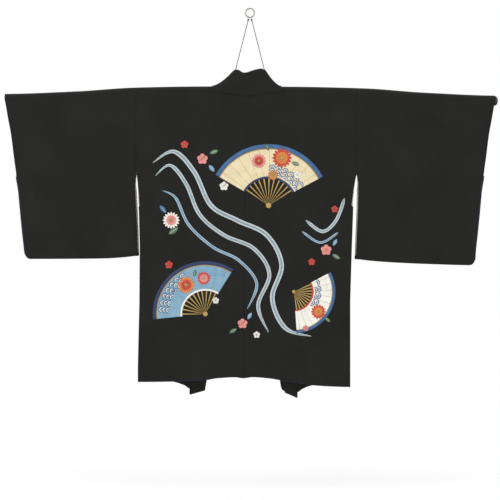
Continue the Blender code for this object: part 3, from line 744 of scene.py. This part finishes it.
def over_rod(sheet, columns, cells):
    """Join the back's top row to the front's top row with an arc over the rod."""
    for i in columns:
        top = sheet.points[sheet.index["back", i, 0]]
        flat = sheet.flat[sheet.index["back", i, 0]]
        for j in range(1, ARC_STEPS):
            angle = math.pi * j / ARC_STEPS
            point = (top.x, -FOLD_RADIUS * math.cos(angle), top.z + FOLD_RADIUS * math.sin(angle))
            sheet.put(("arc", i, j), point, (flat[0], flat[1] + FOLD_RADIUS * angle))
    chain = [("back", 0)] + [("arc", j) for j in range(1, ARC_STEPS)] + [("front", 0)]
    for i in cells:
        for (layer_a, row_a), (layer_b, row_b) in zip(chain, chain[1:]):
            below = [(layer_b, i, row_b), (layer_b, i + 1, row_b)]
            sheet.cell(below + [(layer_a, i + 1, row_a), (layer_a, i, row_a)])


def turn_faces(sheet):
    """Swap the outside and the inside of a sheet."""
    sheet.faces = [face[::-1] for face in sheet.faces]


def body_piece(side, materials):
    """One body half, from the back hem over the rod to the front hem."""
    sign = SIDES[side]
    column = side_column(side)
    levels = body_levels()
    last = len(levels) - 1
    sheet = Sheet()
    cells = NECK_CELLS + SHOULDER_CELLS
    neck_share = NECK_HALF / BODY_HALF
    for i in range(cells + 1):
        share = neck_share * i / NECK_CELLS
        if i > NECK_CELLS:
            share = neck_share + (1 - neck_share) * (i - NECK_CELLS) / SHOULDER_CELLS
        top_x = centre_x(ROD_HEIGHT) + sign * BODY_HALF * share
        top = rod_height(top_x)
        if i < NECK_CELLS:
            top -= NECK_DROP * ramp(1 - i / NECK_CELLS)
        hem = smooth(BACK_HEM, share, column)
        for j, level in enumerate(levels):
            z = top + (hem - top) * level
            inner = centre_x(z) + sign * GAP / 2
            outer = body_side_x(side, "back", z) if z < SLEEVE_END else seam_x(side)
            x = inner + (outer - inner) * share
            sheet.put(("back", i, j), (x, body_depth("back", x, z), z), (x, z))
    for i in range(NECK_CELLS, cells + 1):
        x = sheet.points[sheet.index["back", i, 0]].x
        top = rod_height(x)
        share = (i - NECK_CELLS) / SHOULDER_CELLS
        hem = smooth(FRONT_HEM, share, column)
        over = top + math.pi * FOLD_RADIUS
        for j, level in enumerate(levels):
            z = top + (hem - top) * level
            inner = front_seam_x(side, level)
            outer = body_side_x(side, "front", z) if z < SLEEVE_END else seam_x(side)
            front_x = inner + (outer - inner) * share if j else x
            point = (front_x, body_depth("front", front_x, z), z)
            sheet.put(("front", i, j), point, (front_x, over + top - z))
    for i in range(cells):
        for j in range(last):
            outer = EDGE if j == last - 1 else BLACK
            inner = BLACK if j >= last - 3 else IVORY
            corners = [(i, j), (i + 1, j), (i + 1, j + 1), (i, j + 1)]
            sheet.cell([("back", *corner) for corner in corners], outer, inner)
            if ROD_HEIGHT + levels[j] * (HEM_HEIGHT - ROD_HEIGHT) < FRONT_FACING:
                inner = BLACK
            sheet.cell([("front", *corner) for corner in reversed(corners)], outer, inner)
    over_rod(sheet, range(NECK_CELLS, cells + 1), range(NECK_CELLS, cells))
    if side == "right":
        turn_faces(sheet)
    item = sheet.shell("silk_body_" + side, CLOTH, materials, rim_slot=None)
    hand_over(item, "silk_crepe", "body_" + side)


def gusset_piece(side, materials):
    """The narrow wedge between back and front at the side."""
    sign = SIDES[side]
    rows = LEVEL_CELLS // 2
    top = GUSSET_TOP - (0.001 if side == "left" else 0.007)
    bottom = smooth(BACK_HEM, 1.0, side_column(side))
    sheet = Sheet()
    for j in range(rows + 1):
        share = j / rows
        z = top + (bottom - top) * share
        half = GUSSET_HALF_TOP + (GUSSET_HALF_HEM - GUSSET_HALF_TOP) * share
        ends = []
        for layer in ("back", "front"):
            x = body_side_x(side, layer, z) - sign * CLOTH / 2
            ends.append(Vector((x, body_depth(layer, x, z), z)))
        inner_half = (ends[1].y - ends[0].y) / 2 - CLOTH / 2 - GAP
        inward = math.sqrt(max(half ** 2 - inner_half ** 2, 0.0)) * 0.9
        lean = math.atan2(2 * inward, inner_half)
        reach = inner_half - CLOTH / 2 * math.sin(lean)
        middle = (ends[0] + ends[1]) / 2
        for i in range(GUSSET_CELLS + 1):
            across = 2 * i / GUSSET_CELLS - 1
            x = middle.x - sign * inward * (1 - across ** 2)
            sheet.put((i, j), (x, middle.y + reach * across, z), (half * across, z))
    for i in range(GUSSET_CELLS):
        for j in range(rows):
            corners = [(i, j), (i + 1, j), (i + 1, j + 1), (i, j + 1)]
            sheet.cell(corners, EDGE if j == rows - 1 else BLACK, IVORY)
    if side == "right":
        turn_faces(sheet)
    item = sheet.shell("silk_gusset_" + side, CLOTH, materials)
    hand_over(item, "silk_crepe", "gusset_" + side)


def collar_stations(side):
    """Seam points of half the collar with their places, from the back's middle to the hem."""
    sign = SIDES[side]
    stations = []
    neck_share = NECK_HALF / BODY_HALF
    for i in range(NECK_CELLS + 1):
        share = neck_share * i / NECK_CELLS
        z = rod_height(centre_x(ROD_HEIGHT) + sign * BODY_HALF * share) - NECK_DROP * ramp(1 - i / NECK_CELLS)
        x = centre_x(z) + (seam_x(side) - centre_x(z)) * share
        stations.append((i / NECK_CELLS, Vector((x, -COLLAR_FOLD_RADIUS, z))))
    neck_x = stations[-1][1].x
    top = rod_height(neck_x)
    for j in range(1, ARC_STEPS):
        angle = math.pi * j / ARC_STEPS
        y = -COLLAR_FOLD_RADIUS * math.cos(angle)
        z = top + COLLAR_FOLD_RADIUS * math.sin(angle)
        stations.append((1 + j / ARC_STEPS, Vector((neck_x, y, z))))
    hem = FRONT_HEM[0][side_column(side)]
    rows = LEVEL_CELLS
    for j in range(rows + 1):
        level = j / rows
        z = top + (hem - top) * level
        x = front_seam_x(side, level) if j else neck_x
        y = max(body_depth("front", x, z), COLLAR_FOLD_RADIUS)
        stations.append((2 + level * 0.97, Vector((x, y, z))))
    tab_x = front_seam_x(side, 1.0)
    tab_y = body_depth("front", tab_x, hem)
    tab_z = TAB_SEAM[side_column(side) - 1]
    for j in range(1, 5):
        height = hem + (tab_z - hem) * j / 4
        stations.append((2.97 + 0.03 * j / 4, Vector((tab_x, tab_y, height))))
    return stations


def collar_point(side, place, seam, share):
    """A point across the band, from its seam 0 to its free edge 1."""
    sign = SIDES[side]
    inward = smooth(COLLAR_TURN, place, 1)
    outward = smooth(COLLAR_TURN, place, 2)
    up = smooth(COLLAR_TURN, place, 3)
    inside = COLLAR_SEAM * ramp((place - 0.6) / 0.4)
    above = COLLAR_SEAM * ramp((1.4 - place) / 0.4)
    lean = smooth(COLLAR_TURN, place, 4)
    seam = seam + Vector((-sign * inside, 0.0, above))
    tab = ramp((place - TAB_PLACE) / (3 - TAB_PLACE))
    up += TAB_FREE_RISE[side_column(side) - 1] * tab
    inward -= TAB_NARROWING[side_column(side) - 1] * tab
    point = seam + Vector((lean - sign * inward, outward, up)) * share
    standing = ramp(place / 0.8) * ramp((2.1 - place) / 0.3)
    point.z -= COLLAR_HOLLOW * standing * 4 * share * (1 - share)
    sag = math.exp(-((point.x - COLLAR_DIP_X) / COLLAR_DIP_WIDTH) ** 2)
    point.z -= COLLAR_DIP * sag * share ** 2 * ramp((1.1 - place) / 0.3)
    return point


def collar_piece(materials):
    """One band from the left hem, round the neck, to the right hem."""
    left = collar_stations("left")
    right = collar_stations("right")
    rows = [("left", place, seam) for place, seam in reversed(left)]
    rows += [("right", place, seam) for place, seam in right[1:]]
    sheet = Sheet()
    along = 0.0
    for j, (side, place, seam) in enumerate(rows):
        if j:
            along += (seam - rows[j - 1][2]).length
        for i in range(COLLAR_CELLS + 1):
            share = i / COLLAR_CELLS
            sheet.put((i, j), collar_point(side, place, seam, share), (share * COLLAR_WIDTH, along))
    for i in range(COLLAR_CELLS):
        for j in range(len(rows) - 1):
            sheet.cell([(i, j), (i, j + 1), (i + 1, j + 1), (i + 1, j)], BLACK, BLACK)
    item = sheet.shell("silk_collar", COLLAR_CLOTH * 0.9, materials, roll=0.0008)
    hand_over(item, "silk_crepe", "collar")


def sleeve_shares():
    """Shares of a sleeve's width, close together at the round corner and the cuff."""
    corner = 1 - CORNER_RADIUS / SLEEVE_SPAN
    return split(0.0, corner, SLEEVE_CELLS - 10) + split(corner, 1.0, 9) + [0.992, 1.0]


def sleeve_piece(side, materials):
    """One sleeve, folded over the rod and sewn at its bottom and lower edge."""
    sign = SIDES[side]
    shares = sleeve_shares()
    columns = len(shares) - 1
    levels = split(0.0, SEAM_SHARE, 26) + split(SEAM_SHARE, SEAM_ROWS_END, 3)
    levels += split(SEAM_ROWS_END, 1.0, 34) + [1.0]
    last = len(levels) - 1
    sheet = Sheet()
    for i, share in enumerate(shares):
        for j, level in enumerate(levels):
            for layer in ("back", "front"):
                point = sleeve_point(side, layer, share, level)
                sheet.put((layer, i, j), point, (point.x, point.z if layer == "back" else -point.z))
        pair = [sheet.points[sheet.index[layer, i, last]] for layer in ("back", "front")]
        middle = (pair[0] + pair[1]) / 2
        middle.z -= SEAM_BULGE
        if i == columns:
            middle.x += sign * SEAM_BULGE * 0.7
            middle.z += SEAM_BULGE * 0.3
        for layer, end in zip(("low_back", "low_front"), pair):
            between = (middle + end) / 2
            between.z -= SEAM_BULGE * 0.35
            sheet.put((layer, i, 0), between, (between.x, between.z))
        sheet.put(("under", i, 0), middle, (middle.x, middle.z))
    closed = [j for j in range(last) if sheet.points[sheet.index["back", columns, j]].z < CUFF_END]
    for j in closed:
        pair = [sheet.points[sheet.index[layer, columns, j]] for layer in ("back", "front")]
        middle = (pair[0] + pair[1]) / 2
        middle.x += sign * SEAM_BULGE
        for layer, end in zip(("far_back", "far_front"), pair):
            between = (middle + end) / 2
            between.x += sign * SEAM_BULGE * 0.35
            sheet.put((layer, 0, j), between, (between.x, between.z))
        sheet.put(("outer", 0, j), middle, (middle.x, middle.z))
    sheet.index["outer", 0, last] = sheet.index["under", columns, 0]
    sheet.index["far_back", 0, last] = sheet.index["low_back", columns, 0]
    sheet.index["far_front", 0, last] = sheet.index["low_front", columns, 0]

    under = ("back", "low_back", "under", "low_front", "front")
    for i in range(columns):
        outer = EDGE if i == columns - 1 else BLACK
        for j in range(last):
            inner = BLACK if i >= columns - 3 or i == 0 else IVORY
            corners = [(i, j), (i + 1, j), (i + 1, j + 1), (i, j + 1)]
            sheet.cell([("back", *corner) for corner in corners], outer, inner)
            sheet.cell([("front", *corner) for corner in reversed(corners)], outer, inner)
        for a, b in zip(under, under[1:]):
            row_a = last if a in ("back", "front") else 0
            row_b = last if b in ("back", "front") else 0
            sheet.cell([(a, i, row_a), (a, i + 1, row_a), (b, i + 1, row_b), (b, i, row_b)], BLACK, IVORY)
    side_chain = (("back", columns), ("far_back", 0), ("outer", 0), ("far_front", 0), ("front", columns))
    for j in closed:
        for (a, i), (b, k) in zip(side_chain, side_chain[1:]):
            sheet.cell([(a, i, j), (b, k, j), (b, k, j + 1), (a, i, j + 1)], EDGE, IVORY)
    over_rod(sheet, range(columns + 1), range(columns))
    if side == "right":
        turn_faces(sheet)
    item = sheet.shell("silk_sleeve_" + side, CLOTH, materials, rim_slot=None)
    hand_over(item, "silk_crepe", "sleeve_" + side)


def lining_strip(name, rows, materials, nodes_name):
    """A narrow strip from rows of (edge point, inner point)."""
    sheet = Sheet()
    for j, (edge, inner) in enumerate(rows):
        for i in range(5):
            point = edge.lerp(inner, i / 4)
            sheet.put((i, j), point, (point.x, point.z))
    for i in range(4):
        for j in range(len(rows) - 1):
            sheet.cell([(i, j), (i, j + 1), (i + 1, j + 1), (i + 1, j)], IVORY, IVORY)
    item = sheet.shell(name, LINING, materials, rim_slot=IVORY)
    hand_over(item, "lining", nodes_name)
    return item


def lining_pieces(side, materials):
    """The strips of pale lining that show in a slit."""
    sign = SIDES[side]
    inset = Vector((0.0, CLOTH / 2 + GAP + LINING / 2, 0.0))
    rows = []
    for j in range(41):
        level = FURI_LEVELS[0] + (FURI_LEVELS[1] - FURI_LEVELS[0]) * j / 40
        edge = sleeve_point(side, "front", 0.0, level)
        along = sleeve_point(side, "front", 0.12, level) - edge
        along /= abs(along.x)
        near = edge + along * LINING_INSET - inset
        far = edge + along * (LINING_INSET + LINING_WIDTH) - inset
        rows.append((near, far))
    item = lining_strip("lining_sleeve_" + side, rows, materials, "sleeve_lining_" + side)
    rows = []
    for j in range(17):
        z = SLEEVE_END - 0.005 + (GUSSET_TOP + 0.0065 - SLEEVE_END) * j / 16
        x = body_side_x(side, "front", z)
        edge = Vector((x, body_depth("front", x, z), z)) - inset
        near = edge - Vector((sign * LINING_INSET, 0, 0))
        far = edge - Vector((sign * (LINING_INSET + LINING_WIDTH), 0, 0))
        rows.append((near, far))
    item = lining_strip("lining_body_" + side, rows, materials, "body_lining_" + side)


def rod_point(x):
    """A point on the rod's middle line."""
    return Vector((x, 0.0, rod_height(x)))


def line_piece(name, points, radii, material, sides=24):
    """A round bar along points, with a radius at each and filled ends, as one mesh."""
    rings = []
    for i, point in enumerate(points):
        before = points[max(i - 1, 0)]
        after = points[min(i + 1, len(points) - 1)]
        way = (after - before).normalized()
        across = way.cross(Vector((0.0, 1.0, 0.0))).normalized()
        other = way.cross(across)
        rings.append([point + (across * math.cos(a) + other * math.sin(a)) * radii[i]
                      for a in (2 * math.pi * k / sides for k in range(sides))])
    vertices = [corner for ring in rings for corner in ring]
    faces = []
    for i in range(len(rings) - 1):
        for k in range(sides):
            n = (k + 1) % sides
            faces.append([i * sides + k, i * sides + n, (i + 1) * sides + n, (i + 1) * sides + k])
    last = (len(rings) - 1) * sides
    faces.append(list(reversed(range(sides))))
    faces.append([last + k for k in range(sides)])
    return make_mesh(name, vertices, faces, [0] * len(faces), None, [material])


def hanger_pieces():
    """Rod in three lengths, caps, cords and ring."""
    black = hard("rod_black", colour(32, 31, 31), colour(24, 23, 23), 0.52)
    steel = hard("ring_steel", colour(178, 176, 172), colour(150, 148, 146), 0.28, metallic=1.0, scale=300.0)
    strand = hard("cord_strand", colour(96, 90, 88), colour(66, 62, 62), 0.75, scale=1500.0, depth=0.0001)
    for node, start, end, cells in ROD_LENGTHS:
        points = [rod_point(start + (end - start) * i / cells) for i in range(cells + 1)]
        rod = line_piece("black_" + node, points, [ROD_RADIUS] * len(points), black, 40)
        hand_over(rod, "rod", node)
    for side, profile in CAP_PROFILES.items():
        sign = SIDES[side]
        start = sign * (ROD_END + GAP)
        points = [rod_point(start + sign * along) for along, radius in profile]
        cap = line_piece("black_cap_" + side, points, [radius for along, radius in profile], black, 40)
        hand_over(cap, "rod", "rod_cap_" + side)
    bpy.ops.mesh.primitive_torus_add(major_segments=72, minor_segments=20, major_radius=RING_RADIUS,
                                     minor_radius=RING_WIRE, rotation=(math.pi / 2, 0.0, 0.0))
    ring = bpy.context.object
    ring.name = "steel_ring"
    ring.data.materials.append(steel)
    ring.data.shade_smooth()
    hand_over(ring, "ring", "hanging_ring")
    for side in SIDES:
        cord_piece(side, strand)


def cord_piece(side, strand):
    """Two strands twisted about each other, with a wound knot at each end."""
    foot_x = SIDES[side] * CORD_SPREAD
    foot = Vector((foot_x, 0.0, rod_height(foot_x) + ROD_RADIUS + GAP))
    up = -foot.normalized()
    length = foot.length - RING_RADIUS - RING_WIRE - GAP
    across = up.cross(Vector((0.0, 1.0, 0.0))).normalized()
    other = up.cross(across)

    def around(along, radius, turn):
        angle = 2 * math.pi * turn
        return foot + up * along + (across * math.cos(angle) + other * math.sin(angle)) * radius

    parts = []
    steps = 330
    for phase in (0.0, 0.5):
        points = []
        for i in range(steps + 1):
            along = 0.0016 + (length - 0.0032) * i / steps
            points.append(around(along, TWIST_RADIUS, along / TWIST_PITCH + phase))
        parts.append(line_piece("twist_" + side, points, [STRAND_RADIUS] * len(points), strand, 8))
    for low, high, radius in ((0.0024, 0.0080, 0.0018), (length - 0.0070, length - 0.0024, 0.0014)):
        points = []
        for i in range(141):
            along = low + (high - low) * i / 140
            points.append(around(along, radius, 4.5 * i / 140))
        parts.append(line_piece("knot_" + side, points, [0.0009] * len(points), strand, 8))
    with bpy.context.temp_override(active_object=parts[0], selected_editable_objects=parts):
        bpy.ops.object.join()
    parts[0].name = "twisted_cord_" + side
    hand_over(parts[0], "cord", "hanger_cord_" + side)


class Prints:
    """Coats of dye on the back, gathered by colour and by how many coats lie below."""

    def __init__(self):
        self.coats = {}

    def patch(self, tint, coat, across, along, place):
        """A grid of cells; place(u, v) gives x and z for shares from 0 to 1."""
        points, faces = self.coats.setdefault((tint, coat), ([], []))
        first = len(points)
        for i in range(across + 1):
            for j in range(along + 1):
                x, z = place(i / across, j / along)
                y = body_depth("back", x, z) - CLOTH / 2 - LIFT * coat
                points.append((x, y, z))
        for i in range(across):
            for j in range(along):
                corner = first + i * (along + 1) + j
                face = [corner, corner + along + 1, corner + along + 2, corner + 1]
                a, b, c = (Vector(points[k]) for k in face[:3])
                if (b - a).cross(c - b).y > 0:
                    face.reverse()
                faces.append(face)

    def finish(self):
        for (tint, coat), (points, faces) in self.coats.items():
            base, worn = DYES[tint]
            material = bpy.data.materials.get("dye_" + tint)
            if material is None:
                material = dye("dye_" + tint, colour(*base), colour(*worn))
            item = make_mesh("dye_%s_%d" % (tint, coat), points, faces, [0] * len(faces), None, [material])
            body = item.modifiers.new("coat", "SOLIDIFY")
            body.thickness = DYE
            body.offset = -1.0
            hand_over(item, "silk_crepe")


def turned(x, z, radius, degrees):
    """A point at a radius and turn round a centre on the back."""
    angle = math.radians(degrees)
    return x + radius * math.cos(angle), z + radius * math.sin(angle)


def cells_for(length, size=0.006):
    """How many cells a stretch of dye needs to follow the cloth."""
    return max(1, math.ceil(length / size))


def sector(prints, tint, coat, x, z, inner, outer, start, end):
    """A ring, disc or part of one in one dye."""
    spread = math.radians(abs(end - start)) * outer
    prints.patch(tint, coat, cells_for(outer - inner), cells_for(spread, 0.004),
                 lambda u, v: turned(x, z, inner + (outer - inner) * u, start + (end - start) * v))


def petal(prints, tint, coat, x, z, turn, start, end, width):
    """A pointed oval from start to end along its turn."""
    def place(u, v):
        reach = start + (end - start) * v
        half = width * math.sin(math.pi * min(v * 0.96 + 0.03, 0.99)) ** 0.7
        px, pz = turned(x, z, reach, turn)
        return turned(px, pz, half * (2 * u - 1), turn + 90)
    prints.patch(tint, coat, 2, max(4, cells_for(end - start, 0.004)), place)


def chrysanthemum(prints, x, z, radius, petals, outer, inner):
    """A round flower of narrow petals."""
    width = math.pi * radius * 0.72 / petals
    for i in range(petals):
        petal(prints, outer, 6, x, z, 360 * i / petals, radius * 0.45, radius, width)
    for i in range(petals):
        petal(prints, inner, 7, x, z, 360 * (i + 0.5) / petals, radius * 0.18, radius * 0.66, width * 0.72)
    sector(prints, "gold", 8, x, z, 0.0, radius * 0.2, 0, 360)


def plum(prints, x, z, radius, tint):
    """A flower of five round petals."""
    for i in range(5):
        px, pz = turned(x, z, radius * 0.55, 90 + 72 * i)
        sector(prints, tint, 6 + i % 2, px, pz, 0.0, radius * 0.44, 0, 360)
        ax, az = turned(x, z, radius * 0.3, 90 + 72 * i)
        sector(prints, "gold", 9, ax, az, 0.0, radius * 0.09, 0, 360)
    sector(prints, "gold", 8, x, z, 0.0, radius * 0.16, 0, 360)


def leaf(prints, x, z, turn, length, tint):
    """A pointed leaf with a vein."""
    petal(prints, tint, 5, x, z, turn, 0.0, length, length * 0.24)
    petal(prints, "mist", 6, x, z, turn, length * 0.06, length * 0.9, length * 0.035)


def stream(prints, half, tint, points):
    """A ribbon of water with a thin pale line along each side."""
    line = curve_through(points)
    tangents = []
    for i in range(len(line)):
        ahead = line[min(i + 1, len(line) - 1)]
        behind = line[max(i - 1, 0)]
        tangents.append((ahead - behind).normalized())
    last = len(line) - 1
    for low, high, dyed, coat in ((-1.0, 1.0, tint, 1), (-0.86, -0.68, "white", 2), (0.68, 0.86, "white", 2),
                                  (-0.12, 0.12, "blue", 2)):
        def place(u, v, low=low, high=high):
            i = round(v * last)
            taper = min(1.0, 8 * v + 0.12, 8 * (1 - v) + 0.12)
            across = half * taper * (low + (high - low) * u)
            point = line[i] + Vector((-tangents[i].y, tangents[i].x)) * across
            return point.x, point.y
        prints.patch(dyed, coat, 2, last, place)


def curve_through(points, step=0.0045):
    """Even points on a smooth line through the given ones."""
    ends = [points[0]] + list(points) + [points[-1]]
    line = []
    for a, b, c, d in zip(ends, ends[1:], ends[2:], ends[3:]):
        a, b, c, d = (Vector(point) for point in (a, b, c, d))
        count = cells_for((c - b).length, step)
        for i in range(count):
            t = i / count
            line.append(0.5 * (2 * b + (c - a) * t + (2 * a - 5 * b + 4 * c - d) * t ** 2
                               + (3 * b - a - 3 * c + d) * t ** 3))
    line.append(Vector(points[-1]))
    return line


def fan(prints, x, z, radius, start, end, ground, border, inner_border):
    """An open folding fan: a painted leaf on ribs that meet at a rivet."""
    sector(prints, ground, 3, x, z, radius * 0.44, radius, start, end)
    sector(prints, border, 4, x, z, radius * 0.93, radius, start, end)
    sector(prints, inner_border, 4, x, z, radius * 0.44, radius * 0.475, start, end)
    sector(prints, "gold", 5, x, z, radius * 0.915, radius * 0.93, start, end)
    ribs = 11
    for i in range(ribs):
        turn = start + (end - start) * (i + 0.5) / ribs
        thin = math.degrees(0.0011 / radius)
        sector(prints, "gold", 3, x, z, radius * 0.03, radius * 0.44, turn - 4 * thin, turn + 4 * thin)
        thin *= 0.35
        sector(prints, "gold", 5, x, z, radius * 0.475, radius * 0.915, turn - thin, turn + thin)
    sector(prints, "gold", 4, x, z, 0.0, radius * 0.045, 0, 360)


def waves(prints, number, low, high, start_share, end_share):
    """Rows of half-round scales on a fan's leaf."""
    x, z, radius, start, end = FANS[number][:5]
    size = 0.0095
    rows = int((high - low) * radius / size)
    for row in range(rows):
        reach = radius * low + size * row
        room = math.degrees(2 * size / (reach + size / 2))
        first = start + (end - start) * start_share + room * (0.5 + 0.5 * (row % 2))
        last = start + (end - start) * end_share - room * 0.4
        turn = first
        while turn < last:
            cx, cz = turned(x, z, reach, turn)
            for part, tint, coat in WAVE_RINGS:
                sector(prints, tint, coat, cx, cz, 0.0, size * part, turn - 88, turn + 88)
            turn += room


def motif():
    """Fans on flowing water with flowers and leaves, dyed on the back."""
    prints = Prints()
    for row in STREAMS:
        stream(prints, *row)
    for row in FANS:
        fan(prints, *row)
    for row in WAVES:
        waves(prints, *row)
    for row in LEAVES:
        leaf(prints, *row)
    for row in MUMS:
        chrysanthemum(prints, *row)
    for row in PLUMS:
        plum(prints, *row)
    prints.finish()


def floor_and_light():
    """A plain pale floor well below the hem, a white surround and large soft lamps."""
    pale = bpy.data.materials.new("pale_floor")
    pale.use_nodes = True
    shader = pale.node_tree.nodes["Principled BSDF"]
    shader.inputs["Base Color"].default_value = (0.86, 0.86, 0.86, 1.0)
    shader.inputs["Roughness"].default_value = 0.9
    bpy.ops.mesh.primitive_plane_add(size=1.0, location=(0.0, -0.4, FLOOR_HEIGHT))
    floor = bpy.context.object
    floor.name = "floor"
    floor.scale = (6.0, 3.2, 1.0)
    floor.data.materials.append(pale)
    world = bpy.context.scene.world or bpy.data.worlds.new("surround")
    bpy.context.scene.world = world
    world.use_nodes = True
    surround = world.node_tree.nodes["Background"]
    surround.inputs["Color"].default_value = (1.0, 1.0, 1.0, 1.0)
    surround.inputs["Strength"].default_value = WORLD_STRENGTH
    for name, place, size, power in LAMPS:
        lamp = bpy.data.lights.new(name, "AREA")
        lamp.shape = "RECTANGLE"
        lamp.size, lamp.size_y = size
        lamp.energy = power
        item = bpy.data.objects.new(name, lamp)
        item.location = place
        aim = Vector((0.0, 0.0, -0.6)) - Vector(place)
        item.rotation_euler = aim.to_track_quat("-Z", "Y").to_euler()
        bpy.context.collection.objects.link(item)


def camera():
    lens = bpy.data.cameras.new("photo_camera")
    lens.lens = 160.0
    lens.sensor_width = 36.0
    item = bpy.data.objects.new("photo_camera", lens)
    item.location = (0.0, -6.0, -0.64)
    item.rotation_euler = (math.pi / 2, 0.0, 0.0)
    bpy.context.collection.objects.link(item)
    bpy.context.scene.camera = item
    bpy.context.scene.view_settings.view_transform = "Standard"


def main():
    materials = cloth_materials()
    for side in SIDES:
        body_piece(side, materials)
        gusset_piece(side, materials)
        sleeve_piece(side, materials)
        lining_pieces(side, materials)
    collar_piece(materials)
    motif()
    hanger_pieces()
    floor_and_light()
    camera()


main()
